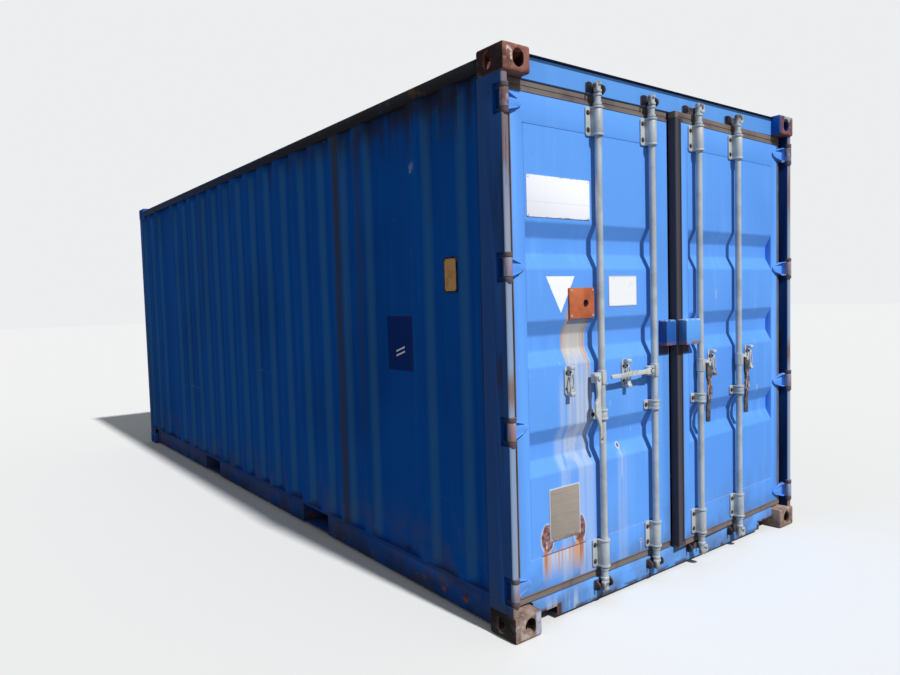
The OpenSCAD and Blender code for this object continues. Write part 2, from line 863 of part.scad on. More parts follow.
// A box with an open back on the leaf
module lock_box(low_x, high_x) {
    y0 = box_depth - pin_depth;
    difference() {
        block([low_x, y0, box_low], [high_x, leaf_face, box_low + box_z]);
        block([low_x + box_plate, y0 + box_plate, box_low - 1],
              [high_x - box_plate, leaf_face + 1, box_low + box_z - box_plate]);
    }
}

// A bar with a cam at each end, collars and the bracket with the pin for its handle
module lock_bar(x) {
    low = bar_end;
    high = height - bar_end;
    y_handle = handle_depth - bar_depth;
    y_bracket = y_handle + handle_y + handle_gap;
    collars = [housing_low - collar_gap - collar_z, housing_high + housing_z + collar_gap,
               low + cam_end + cam_z + cam_gap, high - cam_end - cam_z - cam_gap - collar_z];
    color(zinc) translate([x, bar_y, 0]) {
        translate([0, 0, low]) cylinder(h = high - low, r = bar_r, $fn = 64);
        for (z = collars) translate([0, 0, z]) cylinder(h = collar_z, r = collar_r, $fn = 64);
        for (z = [low + cam_end, high - cam_end - cam_z]) translate([0, 0, z]) cam();
        translate([0, 0, handle_at]) {
            translate([0, 0, -boss_z / 2]) cylinder(h = boss_z, r = collar_r, $fn = 64);
            block([-pivot_offset - bracket_end, y_bracket, -bracket_z / 2],
                  [0, y_bracket + bracket_y, bracket_z / 2]);
            translate([-pivot_offset, y_bracket + sink, 0]) rotate([90, 0, 0])
                cylinder(h = handle_y + 2 * (handle_gap + sink), r = pivot_r, $fn = 48);
            translate([-pivot_offset, y_handle - handle_gap, 0]) rotate([90, 0, 0])
                cylinder(h = pivot_head, r = pivot_head_r, $fn = 48);
        }
    }
}

// Two fingers, one above the other, joined by a web at their ends
module cam() {
    for (z = [0, cam_z - cam_finger])
        block([-cam_reach, -cam_front, z], [cam_tail, 0, z + cam_finger]);
    block([-cam_reach, -cam_front, 0], [cam_web - cam_reach, 0, cam_z]);
}

// A flat bar with a step in it, turned down from level by an angle
module handle(x, down) {
    y0 = handle_depth - pin_depth;
    h = handle_x / 2;
    step_end = step_at + 2 * h;
    color(zinc) translate([x - pivot_offset, y0 + handle_y, handle_at]) rotate([90, -down, 0])
        difference() {
            union() {
                cylinder(h = handle_y, r = hub_r, $fn = 64);
                linear_extrude(handle_y) polygon([
                    [0, -h], [0, h], [-step_at, h], [-step_end, h - handle_step],
                    [-handle_length, h - handle_step], [-handle_length, -h - handle_step],
                    [-step_end, -h - handle_step], [-step_at, -h]]);
            }
            translate([0, 0, -1]) cylinder(h = handle_y + 2, r = pivot_r + pivot_clear, $fn = 48);
        }
}

module leaf_frame_left() {
    color(blue) place_left() leaf_frame(free_left);
}

module leaf_frame_right() {
    color(blue) place_right() leaf_frame(free_right);
}

module leaf_panel_left() {
    color(blue) place_left() leaf_panel();
}

module leaf_panel_right() {
    color(blue) place_right() leaf_panel();
}

module seal_left() {
    color(rubber) place_left() seal(free_left, 0);
}

module seal_right() {
    color(rubber) place_right() seal(free_right, meeting_seal);
}

module hinge_blades_left() {
    color(blue) place_left() hinge_blades();
}

module hinge_blades_right() {
    color(blue) place_right() hinge_blades();
}

module housings_left() {
    color(zinc) place_left() housings();
}

module housings_right() {
    color(zinc) place_right() housings();
}

module catches_left() {
    color(zinc) place_left() catches(catch_left);
}

module catches_right() {
    color(zinc) place_right() catches(catch_right);
}

module lock_box_left() {
    end = pin_x - box_gap;
    color(blue) place_left() lock_box(end - box_left, end);
}

module lock_box_right() {
    end = pin_x - box_gap;
    color(blue) place_right() lock_box(end - box_right, end);
}

// A plate on the left leaf, given by its outer side, lower edge and size
module plate_on_leaf(from_middle, low, size) {
    place_left() translate([pin_x - from_middle, leaf_face - size[1], low]) cube(size);
}

module sign() {
    color(white) plate_on_leaf(sign_at, sign_low, [sign_x, plate_y, sign_z]);
}

module data_plate() {
    color(tan_plate) plate_on_leaf(data_at, data_low, [data_x, plate_y, data_z]);
}

module bolted_plate() {
    color(rust) plate_on_leaf(bolted_at, bolted_low, [bolted_x, bolted_y, bolted_z]);
}

module lock_bar_1() {
    place_left() lock_bar(bar_at[0]);
}

module lock_bar_2() {
    place_left() lock_bar(bar_at[1]);
}

module lock_bar_3() {
    place_right() lock_bar(bar_at[1]);
}

module lock_bar_4() {
    place_right() lock_bar(bar_at[0]);
}

module handle_1() {
    place_left() handle(bar_at[0], 90);
}

module handle_2() {
    place_left() handle(bar_at[1], 0);
}

module handle_3() {
    place_right() handle(bar_at[1], 90);
}

module handle_4() {
    place_right() handle(bar_at[0], 90);
}

castings_bottom();
castings_top();
door_post_left();
door_post_right();
front_post_left();
front_post_right();
door_header();
door_sill();
front_header();
front_sill();
top_rail_left();
top_rail_right();
bottom_rail_left();
bottom_rail_right();
rail_webs_left();
rail_webs_right();
side_wall_left();
side_wall_right();
front_wall();
roof();
floor();
cross_members();
pocket_sides();
pocket_tops();
pocket_straps();
keepers();
hinge_lugs_left();
hinge_lugs_right();
side_plate();
leaf_frame_left();
leaf_panel_left();
seal_left();
hinge_blades_left();
housings_left();
catches_left();
lock_box_left();
sign();
data_plate();
bolted_plate();
leaf_frame_right();
leaf_panel_right();
seal_right();
hinge_blades_right();
housings_right();
catches_right();
lock_box_right();
lock_bar_1();
lock_bar_2();
lock_bar_3();
lock_bar_4();
handle_1();
handle_2();
handle_3();
handle_4();
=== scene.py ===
"""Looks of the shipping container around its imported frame. Sizes are in metres."""

import json
import math

import bmesh
import bpy
from mathutils import Matrix, Vector, noise

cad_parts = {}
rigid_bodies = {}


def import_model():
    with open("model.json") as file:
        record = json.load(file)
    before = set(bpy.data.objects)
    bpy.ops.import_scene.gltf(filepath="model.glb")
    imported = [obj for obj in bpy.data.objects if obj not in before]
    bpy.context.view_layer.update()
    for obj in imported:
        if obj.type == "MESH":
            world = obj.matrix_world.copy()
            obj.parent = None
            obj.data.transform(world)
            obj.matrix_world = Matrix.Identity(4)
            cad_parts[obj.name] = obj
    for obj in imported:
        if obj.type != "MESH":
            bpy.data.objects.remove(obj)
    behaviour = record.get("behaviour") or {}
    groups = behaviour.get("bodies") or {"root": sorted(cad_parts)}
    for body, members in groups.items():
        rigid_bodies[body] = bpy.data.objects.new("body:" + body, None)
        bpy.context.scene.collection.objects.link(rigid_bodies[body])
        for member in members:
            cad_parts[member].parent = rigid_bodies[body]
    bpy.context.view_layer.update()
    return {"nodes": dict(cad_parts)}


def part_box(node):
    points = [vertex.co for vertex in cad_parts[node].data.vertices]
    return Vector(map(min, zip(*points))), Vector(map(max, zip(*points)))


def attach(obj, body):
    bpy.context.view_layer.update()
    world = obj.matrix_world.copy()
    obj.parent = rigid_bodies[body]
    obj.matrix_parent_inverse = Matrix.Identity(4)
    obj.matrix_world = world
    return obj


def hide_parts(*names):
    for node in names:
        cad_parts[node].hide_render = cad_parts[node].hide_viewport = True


for left_over in list(bpy.data.objects):
    bpy.data.objects.remove(left_over)
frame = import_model()
NODES = frame["nodes"]
X, Y, Z = 0, 1, 2

HALF_X, HALF_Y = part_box("castings_bottom")[1].xy
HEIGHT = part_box("castings_top")[1].z
AJAR = math.radians(2.2)
PIN_X, PIN_Y = HALF_X - 0.024, -HALF_Y + 0.022
LEAF = {
    "left": Matrix.Translation((-PIN_X, PIN_Y, 0)),
    "right": Matrix.Translation((PIN_X, PIN_Y, 0))
    @ Matrix.Rotation(AJAR, 4, "Z")
    @ Matrix.Diagonal((-1, 1, 1, 1)),
}
# In a leaf, X runs from the pin to the free edge and Y into the container
LEAF_FACE = 0.041
LEAF_EDGE, FREE_LEFT, FREE_RIGHT = 0.064, 1.186, 1.143
LEAF_LOW, LEAF_HIGH = 0.166, 2.428
PLATE_Y = LEAF_FACE - 0.008
BAR_Y, BAR_R = 0.01, 0.017
BARS = {1: ("left", 0.603), 2: ("left", 1.017), 3: ("right", 1.017), 4: ("right", 0.603)}
BAR_PLACES = (BARS[1][1], BARS[2][1])
HANDLE_Z, PIVOT = 1.12, 0.048
HANDLE_Y = (-0.016, -0.004)
HINGES = [0.225 + i * (HEIGHT - 0.229 - 0.225) / 3 for i in range(4)]
HOUSINGS = [(0.184, 0.137), (0.915, 0.05), (2.273, 0.137)]
BAR_END, CAM_END, CAM_Z = 0.065, 0.004, 0.048
LABEL_X, LABEL_Z, LABEL_RIM = (-0.494, -0.278), (1.46, 1.61), 0.005
SEAMS_Z, SEAM_R = (0.174, 2.498), 0.003
# At the closed end the side walls make room for the upper castings, from this Y and Z
NOTCH = (HALF_Y - 0.178, HEIGHT - 0.118)

# The door paint, then a darker copy of the same paint for the walls, posts and side frame, as painted
# shade
SUNNY = (98, 159, 240), (122, 178, 246), (82, 143, 228)
SHADED = SHADED_BASE, SHADED_PALE, SHADED_DARK = (6, 86, 176), (20, 104, 192), (4, 64, 142)
GRIME, CHALK, SOOT = (96, 88, 78), (205, 214, 226), (44, 42, 42)


def rgb(red, green, blue):
    """A linear colour from screen values of 0 to 255."""
    return tuple(
        c / 12.92 if c <= 0.04045 else ((c + 0.055) / 1.055) ** 2.4
        for c in (red / 255, green / 255, blue / 255)
    ) + (1.0,)


def operation(name):
    """A step of arithmetic with one value or two."""
    return lambda value, other=0.0: value.look.math(name, value, other)


class Value:
    """A number or colour that a material works out at each point."""

    __add__, __sub__ = operation("ADD"), operation("SUBTRACT")
    __mul__, __truediv__ = operation("MULTIPLY"), operation("DIVIDE")
    __mod__, __abs__ = operation("FLOORED_MODULO"), operation("ABSOLUTE")
    # The larger of two values
    __or__ = operation("MAXIMUM")
    root, zigzag = operation("SQRT"), operation("PINGPONG")

    def __init__(self, look, socket):
        self.look, self.socket = look, socket

    def __invert__(self):
        """1 where the value is 0, and 0 where it is 1."""
        return self.look.math("SUBTRACT", 1.0, self)

    def rise(self, start, end):
        """0 before start, 1 after end, smooth in between."""
        return self.look.add("ShaderNodeMapRange", {0: self, 1: start, 2: end},
                             interpolation_type="SMOOTHSTEP")

    def within(self, low, high, soft=0.002):
        """1 from low to high, 0 outside."""
        return self.rise(low - soft, low + soft) * self.rise(high + soft, high - soft)

    def near(self, middle, half, soft=0.002):
        """1 around a middle, 0 outside."""
        return self.within(middle - half, middle + half, soft)


class Look:
    """One procedural material, built in layers over a base colour."""

    def __init__(self, name, colour, rough, metal=0.0, gloss=0.12):
        self.material = bpy.data.materials.new(name)
        self.material.use_nodes = True
        self.tree = self.material.node_tree
        self.shader = self.tree.nodes["Principled BSDF"]
        self.shader.inputs["Specular IOR Level"].default_value = gloss
        place = self.tree.nodes.new("ShaderNodeTexCoord")
        self.place = Value(self, place.outputs["Object"])
        self.x, self.y, self.z = self.split(self.place)
        self.nx, self.ny, self.nz = self.split(Value(self, place.outputs["Normal"]))
        self.colour, self.rough, self.metal = rgb(*colour), rough, metal
        self.normal = self.rust_colour = None

    def feed(self, socket, value):
        if isinstance(value, Value):
            self.tree.links.new(value.socket, socket)
        elif value is not None:
            socket.default_value = value

    def node(self, kind, inputs, **settings):
        made = self.tree.nodes.new(kind)
        for key, value in settings.items():
            setattr(made, key, value)
        for key, value in inputs.items():
            self.feed(made.inputs[key], value)
        return made

    def add(self, kind, inputs, **settings):
        """A node's first output."""
        return Value(self, self.node(kind, inputs, **settings).outputs[0])

    def split(self, vector):
        parts = self.node("ShaderNodeSeparateXYZ", {0: vector}).outputs
        return [Value(self, part) for part in parts]

    def math(self, name, a, b):
        return self.add("ShaderNodeMath", {0: a, 1: b}, operation=name)

    def noise(self, scale, detail=3.0, stretch=(1, 1, 1), seed=0):
        shift = (seed * 3.7, seed * 1.9, seed * 2.3)
        moved = self.add("ShaderNodeVectorMath", {0: self.place, 1: stretch, 2: shift},
                         operation="MULTIPLY_ADD")
        return self.add("ShaderNodeTexNoise", {"Vector": moved, "Scale": scale, "Detail": detail})

    def blotch(self, scale, start, end, detail=6.0, **how):
        return self.noise(scale, detail, **how).rise(start, end)

    def runs(self, fine, start, end, seed=0, tall=1.0):
        """Marks that run down a wall."""
        return self.blotch(1.0, start, end, stretch=(fine, fine, tall), seed=seed, detail=4.0)

    def mix(self, mask, a, b):
        mixer = self.node("ShaderNodeMix", {0: mask, 6: a, 7: b}, data_type="RGBA")
        return Value(self, mixer.outputs[2])

    def over(self, mask, colour, rough=None, metal=None):
        """Lays a colour over what is there, where the mask is 1."""
        if isinstance(colour, tuple):
            colour = rgb(*colour)
        self.colour = self.mix(mask, self.colour, colour)
        for name, value in (("rough", rough), ("metal", metal)):
            if value is not None:
                old = getattr(self, name)
                setattr(self, name, self.add("ShaderNodeMix", {0: mask, 2: old, 3: value}))

    def rust(self):
        if self.rust_colour is None:
            grain = self.blotch(26, 0.35, 0.68, seed=5)
            self.rust_colour = self.mix(grain, rgb(84, 50, 42), rgb(146, 88, 66))
        return self.rust_colour

    def bump(self, height, depth):
        inputs = {"Height": height, "Distance": depth, "Strength": 1.0, "Normal": self.normal}
        self.normal = self.add("ShaderNodeBump", inputs)

    def grain(self, scale, detail, depth):
        self.bump(self.noise(scale, detail), depth)

    def done(self):
        for key, value in (("Base Color", self.colour), ("Roughness", self.rough),
                           ("Metallic", self.metal), ("Normal", self.normal)):
            self.feed(self.shader.inputs[key], value)
        return self


def painted(name, base, pale, dark, chips=0.74, rough=0.55, gloss=0.12):
    """Old blue paint: cloudy, with pale runs, fine dirt, chips and grime low down."""
    look = Look(name, base, rough, gloss=gloss)
    look.over(look.blotch(0.9, 0.42, 0.72, detail=3.0) * 0.6, dark)
    look.over(look.runs(16, 0.5, 0.78) * 0.35, pale)
    look.over(look.runs(7, 0.55, 0.75, seed=3, tall=0.5) * 0.3, dark)
    look.over(look.blotch(70, 0.62, 0.74, detail=5.0) * 0.14, GRIME)
    low = look.z.rise(0.55, 0.05) * look.blotch(5, 0.4, 0.65)
    look.over(low * 0.45, GRIME, rough=0.8)
    chip = look.blotch(38, chips, chips + 0.02, seed=2) * look.blotch(1.7, 0.5, 0.6, detail=3.0)
    look.over(chip, look.rust(), rough=0.9)
    look.bump(look.noise(2.2, detail=2.0), 0.004)
    look.grain(160, 2.0, 0.00025)
    return look


def spot(look, x, z, radius_x, radius_z, ragged):
    """A ragged spot on the doors."""
    soft = 0.25
    a, b = (look.x - x) / radius_x, (look.z - z) / radius_z
    wild = (look.noise(30, detail=5.0, seed=8) - 0.5) * (ragged * 4)
    return (a * a + b * b + wild).rise(1 + soft, 1 - soft)


def plate_stains(look, front):
    """Pale and brown runs under the rusty plate."""
    x, z = look.x, look.z
    field = x.within(-0.802, -0.64, 0.008) * front
    look.over(field * z.within(1.2, 1.42, 0.07) * 0.86, (198, 188, 170))
    look.over(field * z.within(0.72, 1.22, 0.12) * 0.42, (192, 192, 184))
    fine = look.runs(60, 0.45, 0.65, seed=1, tall=0.4)
    look.over(field * fine * z.within(0.8, 1.3, 0.15) * 0.35, CHALK)
    for at, half, low, amount in ((-0.798, 0.005, 1.22, 0.8), (-0.786, 0.003, 1.1, 0.5),
                                  (-0.668, 0.004, 1.12, 0.6), (-0.65, 0.007, 1.06, 0.65),
                                  (-0.735, 0.003, 1.3, 0.3)):
        line = x.near(at, half, 0.004) * z.rise(low - 0.1, low + 0.16)
        look.over(line * z.rise(1.47, 1.43) * front * amount, (184, 134, 92))


def corner_rust(look, front):
    """Rust behind the data plate's lower corners."""
    for at, up, wide, tall in ((-0.95, 0.398, 0.04, 0.064), (-0.733, 0.396, 0.04, 0.068)):
        halo = spot(look, at, up, wide * 1.14, tall * 1.1, ragged=0.12)
        look.over(halo * front, (186, 208, 238))
        blob = spot(look, at, up, wide, tall, ragged=0.16) * front
        look.over(blob, (148, 112, 110), rough=0.9)
        look.over(blob * look.blotch(34, 0.42, 0.6), (112, 72, 70))
        look.over(blob * look.blotch(46, 0.6, 0.66, seed=7), (196, 184, 186))


def corner_streaks(look, front):
    """Brown streaks under the data plate."""
    x, z = look.x, look.z
    fade = z.rise(0.165, 0.31)
    below = x.within(-0.985, -0.7, 0.008) * z.within(0.16, 0.322, 0.004) * front
    look.over(below * fade * 0.5, (214, 216, 214))
    look.over(below * fade * look.runs(44, 0.46, 0.6, seed=6, tall=0.5) * 0.8, (198, 142, 92))
    for at, half, colour in ((-0.964, 0.013, (178, 112, 68)), (-0.935, 0.005, (206, 158, 112)),
                             (-0.903, 0.004, (206, 158, 112)), (-0.858, 0.005, (196, 136, 88)),
                             (-0.805, 0.006, (200, 146, 100)), (-0.78, 0.004, (184, 120, 76)),
                             (-0.752, 0.012, (206, 148, 98)), (-0.722, 0.015, (168, 96, 58))):
        line = x.near(at, half, 0.007) * fade * z.within(0.17, 0.345, 0.008)
        look.over(line * front * 0.85, colour)
    edge = z.within(0.319, 0.325, 0.002) * front * x.within(-0.99, -0.69, 0.004)
    look.over(edge * 0.8, (112, 72, 52))


def rust_spots(look, front):
    """Small rust spots with pale runs."""
    x, z = look.x, look.z
    for at, up, size, run in ((-0.413, 0.751, 0.008, 0.16), (-0.267, 0.228, 0.005, 0.05),
                              (0.402, 1.52, 0.004, 0.04), (0.87, 0.93, 0.004, 0.05)):
        line = x.near(at, 0.005, 0.004) * z.within(up - run, up, 0.02)
        look.over(line * front * 0.35, CHALK)
        look.over(spot(look, at, up, size * 1.7, size * 2.2, ragged=0.2) * 0.8, CHALK)
        look.over(spot(look, at, up, size, size * 1.4, ragged=0.2), (120, 92, 92), rough=0.9)


def door_marks(look):
    """Everything that is painted, stained or worn on the two leaves."""
    x, z = look.x, look.z
    front = look.y.rise(-2.9, -2.93) * look.ny.rise(0.05, -0.05)
    for level, colour, amount in ((2.284, SHADED_DARK, 0.9), (0.32, CHALK, 0.3)):
        line = z.near(level, 0.0015, 0.001) * abs(x).within(0.11, 1.06)
        look.over(line * front * amount, colour)
    # Soft pale bands that run down from the plates
    pale = look.runs(18, 0.42, 0.62, seed=11, tall=0.15) * front
    for start, end, top, amount in ((-0.86, -0.62, 1.15, 0.35), (-0.44, -0.38, 0.75, 0.3)):
        band = x.within(start, end, 0.02) * pale * z.rise(top + 0.05, top - 0.1)
        look.over(band * amount, CHALK)
    # White triangle that points down
    worn = (look.noise(40, detail=5.0) - 0.5) * 0.006
    edge = (z - 1.44) * 0.559 - abs(x + 0.833) + worn
    look.over(edge.rise(-0.001, 0.001) * z.rise(1.611, 1.609) * front, (240, 243, 248))
    plate_stains(look, front)
    corner_rust(look, front)
    corner_streaks(look, front)
    # Dirt and painted shadow under the lock box
    dirt_and_shadow = x.within(-0.096, 0.112, 0.006) * front * z.within(1.19, 1.243, 0.01)
    look.over(dirt_and_shadow * 0.9, (78, 60, 66), rough=0.9)
    rust_spots(look, front)
    # Scratches where the handles swing
    scratches = look.blotch(1.0, 0.7, 0.74, stretch=(60, 60, 14), seed=9, detail=3.0)
    look.over(scratches * z.within(0.75, 1.2, 0.1) * 0.5, CHALK)
    return look.done()


def wall_look():
    """Dull walls in the darker paint that stands for painted shade, with painted highlights on the
    slopes that face the doors, streaks, a dark patch and scrapes. Seen from the side they stay deep
    blue.
    """
    look = painted("wall_paint", *SHADED, 0.74, rough=0.7, gloss=0.03)
    y, z = look.y, look.z
    outside = look.nx.rise(0.1, -0.1) * look.x.rise(0.1, -0.1)
    # Painted highlight: the slopes that face the doors are paler than the flats
    lit_slope = look.ny.rise(-0.15, -0.5) * z.within(0.19, 2.46, 0.03)
    look.over(lit_slope * abs(y).rise(2.96, 2.94) * 0.32, (84, 142, 168))
    doors = y.rise(0.3, -2.6)
    drips = look.runs(16, 0.42, 0.66, seed=4, tall=0.35) * z.rise(2.15, 2.5)
    look.over(drips * (doors * 0.62 + 0.22), SOOT, rough=0.8)
    soot = z.rise(2.34, 2.47) * doors * look.blotch(5, 0.3, 0.52, detail=5.0, seed=12)
    look.over(soot * 0.8, SOOT)
    look.over(look.runs(30, 0.55, 0.75, seed=7, tall=0.3) * 0.25, SHADED_DARK)
    wavy = y + (look.noise(2, stretch=(0, 0, 1)) - 0.5) * 0.05
    grain = look.runs(50, 0.2, 0.6, seed=2, tall=0.6) * 0.5 + 0.5
    for start, end, low, soft, amount in ((-1.55, -1.485, -0.8, 0.024, 0.9),
                                          (-1.8, -1.745, 0.4, 0.024, 0.45),
                                          (0.78, 0.86, 0.0, 0.02, 0.55),
                                          (0.96, 1.01, 0.8, 0.02, 0.35)):
        streak = wavy.within(start, end, soft) * grain * z.rise(low, low + 1.4)
        look.over(streak * amount, (66, 66, 58), rough=0.85)
    seam = wavy.within(-2.835, -2.815, 0.006) * grain
    look.over(seam * 0.55, SOOT)
    look.over(seam * z.within(1.12, 1.52, 0.06) * 0.8, (60, 44, 38))
    patch = y.within(-2.265, -2.0, 0.001) * z.within(1.145, 1.435, 0.001) * outside
    look.over(patch, (6, 44, 118), rough=0.5)
    look.over(patch * z.rise(1.428, 1.432) * 0.6, SOOT)
    slant = z + (y + 2.082) * 0.31
    for level in (1.223, 1.247):
        slash = slant.near(level, 0.0045, 0.001)
        look.over(y.within(-2.164, -2.082, 0.001) * slash * outside, (226, 232, 240))
    for at, up, half_y, half_z, colour, amount in (
        (-2.51, 2.36, 0.03, 0.08, (44, 96, 84), 0.7),
        (-2.31, 2.19, 0.02, 0.035, CHALK, 0.3),
        (-0.3, 1.02, 0.12, 0.005, CHALK, 0.12),
        (1.4, 0.76, 0.2, 0.004, CHALK, 0.12),
    ):
        mark = y.near(at, half_y, 0.02) * z.near(up, half_z, 0.006)
        look.over(mark * look.blotch(30, 0.4, 0.6, detail=5.0) * amount, colour)
    # A faint arc, scraped in
    a, b = (y + 2.47) / 0.18, (z - 0.3) / 0.23
    arc = (a * a + b * b).root().within(0.97, 1.03, 0.03) * z.rise(0.25, 0.45) * outside
    look.over(arc * 0.3, SHADED_PALE)
    edge = z.rise(0.23, 0.175) | z.rise(2.47, 2.5)
    look.over(edge * look.blotch(9, 0.5, 0.66) * 0.7, SOOT, rough=0.9)
    return look.done()


def frame_look(name, base, pale, dark, rusty=0.62, soot=0.5):
    """Paint of the frame, with more rust and dirt, most of it near the ground."""
    look = painted(name, base, pale, dark, 0.72)
    low = look.z.rise(0.22, 0.02)
    worn = look.blotch(11, rusty, rusty + 0.08, detail=7.0, seed=3)
    look.over(worn * low, look.rust(), rough=0.9)
    look.over(low * look.blotch(6, 0.42, 0.62, seed=8) * soot, SOOT)
    return look


def front_look():
    """Header and sill of the door end: a dark lip, and rusty notches in the sill."""
    look = frame_look("front_frame", (104, 168, 248), (128, 186, 250), (92, 154, 238), 0.7, 0.25)
    look.over(look.z.rise(2.571, 2.573), (24, 36, 60), rough=0.8)
    notch = look.z.rise(0.083, 0.07) * abs(look.x).rise(0.868, 0.878)
    look.over(notch * look.blotch(24, 0.3, 0.45, detail=5.0), (92, 62, 54), rough=0.9)
    streaks = look.x.within(-1.02, -0.62, 0.04) * look.z.rise(0.14, 0.05)
    look.over(streaks * look.runs(34, 0.46, 0.62, seed=5, tall=1.0) * 0.55, CHALK)
    foot = look.z.rise(0.045, 0.028) * look.blotch(16, 0.4, 0.58)
    look.over(foot * 0.8, (84, 66, 60), rough=0.9)
    return look.done()


def box_look(name, base, pale, dark):
    """The lock box: worn along its top, rusty along its lower edge, and darker and greyer at its
    side, as dirt and painted shade.
    """
    look = frame_look(name, base, pale, dark, 0.7)
    # Dirt and painted shade on the faces that look to -X
    look.over(look.nx.rise(-0.3, -0.6) * 0.6, (54, 74, 116))
    top = look.z.rise(1.364, 1.37) * look.blotch(30, 0.4, 0.58, detail=5.0)
    look.over(top * 0.7, (186, 214, 240))
    rim = look.z.rise(1.264, 1.244) * look.blotch(40, 0.38, 0.54)
    look.over(rim, (150, 104, 84), rough=0.9)
    return look.done()


def rail_look():
    """The top rails: sooty and rusty towards the doors."""
    look = frame_look("rail_paint", (12, 58, 114), (16, 70, 134), (8, 40, 84))
    doors = look.y.rise(2.4, -1.8)
    cover = (doors * 0.6 + 0.34) * look.blotch(5, 0.2, 0.42, seed=6)
    look.over(cover, SOOT, rough=0.85)
    look.over(look.blotch(8, 0.6, 0.66, seed=1) * 0.5, (96, 68, 58))
    look.over(look.blotch(16, 0.72, 0.74, detail=4.0, seed=2) * doors, CHALK)
    return look.done()


def post_look():
    """The door posts: deep blue at the side in the darker paint that stands for painted shade, with
    more painted shade where the right post looks to -X, and a bare and weathered nose.
    """
    look = frame_look("post_paint", *SHADED, 0.68)
    x, y, z = look.x, look.y, look.z
    side = y.rise(-2.9, -2.96)
    look.over(side * look.runs(26, 0.52, 0.68, seed=2, tall=1.2) * 0.6, SOOT, rough=0.8)
    marks = y.within(-2.975, -2.94, 0.008) * z.within(1.13, 1.27, 0.04)
    look.over(marks * look.runs(60, 0.4, 0.6, seed=3), (64, 46, 40), rough=0.9)
    # Painted shade on the right post's faces that look to -X, next to the door
    look.over(side * x.rise(0.0, 0.1) * look.nx.rise(-0.3, -0.6) * 0.7, (14, 26, 60))
    look.over(look.nx.rise(-0.5, -0.9) * x.rise(0.0, -0.1) * 0.35, (58, 72, 84))
    nose = look.ny.rise(-0.2, -0.5) * y.rise(-2.985, -2.995)
    look.over(nose, (132, 154, 186), rough=0.7)
    look.over(nose * look.runs(24, 0.42, 0.62, seed=1, tall=1.8) * 0.6, (152, 152, 160))
    rusty = (z.rise(1.85, 2.1) * 0.9) | z.within(1.05, 1.18, 0.05)
    look.over(nose * rusty * look.runs(20, 0.3, 0.52, seed=6, tall=2.0), (126, 108, 108), rough=0.9)
    flakes = nose * z.rise(1.8, 2.3) * look.runs(44, 0.52, 0.6, seed=9)
    look.over(flakes, look.rust(), rough=0.9)
    look.over(nose * z.rise(0.24, 0.15), (138, 120, 110), rough=0.9)
    return look.done()


def lug_look():
    """Hinge lugs: rusty next to the knuckle, weathered like the nose of the post elsewhere, with
    painted shade in dark blue on their side faces.
    """
    look = Look("hinge_steel", (132, 146, 172), 0.8)
    look.over(look.runs(34, 0.42, 0.6, tall=4.0), (136, 118, 122))
    apart = HINGES[1] - HINGES[0]
    along = (look.z + (apart / 2 - HINGES[0])) % apart
    near = abs(along - apart / 2).rise(0.068, 0.06)
    look.over(near * 0.85, (84, 68, 68), rough=0.9)
    look.over(near * look.blotch(40, 0.5, 0.66), (112, 80, 72))
    # Painted shade: the side faces take the dark blue of the shaded post sides
    look.over(abs(look.nx).rise(0.9, 0.98) * look.y.rise(-3.008, -3.004), (14, 58, 112), rough=0.6)
    look.grain(120, 5.0, 0.0006)
    return look.done()


def blade_look():
    """Hinge blades: sunny blue to the front, with painted shade in deep blue where they face the
    side.
    """
    look = painted("blade_paint", *SUNNY, 0.66)
    # Painted shade on the faces that look to -X on the left leaf
    look.over(look.nx.rise(-0.5, -0.9) * look.x.rise(0.0, -0.1), (12, 56, 112))
    return look.done()


def knuckle_look():
    look = Look("knuckle_paint", (140, 158, 190), 0.7)
    look.over(look.runs(40, 0.4, 0.62, tall=6.0), (150, 122, 126))
    look.over(look.z.rise(2.0, 2.3) * look.blotch(30, 0.4, 0.6, detail=3.0), (120, 92, 90), rough=0.9)
    look.grain(90, 5.0, 0.0006)
    return look.done()


def casting_look(name, base, second, light):
    """Cast steel, rusted, with what is left of the paint."""
    look = Look(name, base, 0.9, gloss=0.15)
    x, y, z = look.x, look.y, look.z
    look.over(look.blotch(12, 0.4, 0.66, detail=7.0), second)
    look.over(look.blotch(30, 0.56, 0.7, seed=2) * 0.7, light)
    look.over(look.blotch(9, 0.62, 0.65, detail=7.0, seed=6) * 0.8, (176, 172, 170))
    bare = x.within(-1.196, -1.164, 0.004) * z.within(2.502, 2.57, 0.006) * y.rise(-3.0, -3.02)
    look.over(bare * look.blotch(40, 0.46, 0.54, seed=3), (200, 188, 182))
    shaded = look.nx.rise(-0.5, -0.9) * x.rise(0, -0.2)
    look.over(shaded * 0.86, (24, 26, 36))
    # Paint that is left on the lower casting, beside its hole
    front = y.rise(-3.02, -3.025) * z.within(0.01, 0.11, 0.008)
    right = front * x.within(-1.096, -1.05, 0.005)
    look.over(right * look.blotch(26, 0.34, 0.48, seed=11) * 0.85, (172, 180, 202))
    left = front * x.within(-1.19, -1.152, 0.008)
    look.over(left * look.blotch(30, 0.44, 0.56, seed=5) * 0.7, (182, 174, 166))
    look.over(shaded * look.blotch(12, 0.64, 0.66, detail=5.0, seed=9), (170, 168, 172))
    # Blue paint left on the far castings and on the sides of the upper right ones, in the darker
    # paint that stands for painted shade
    inner = abs(look.nx) * x.rise(0, 0.2) * z.rise(1.2, 1.4)
    paint = look.blotch(7, 0.64, 0.67, detail=7.0, seed=4) * y.rise(-2.8, -2.5)
    look.over(paint | inner | y.rise(-2, 2) * 0.85, SHADED_BASE, rough=0.6)
    look.grain(90, 6.0, 0.0014)
    look.grain(12, 3.0, 0.003)
    return look.done()


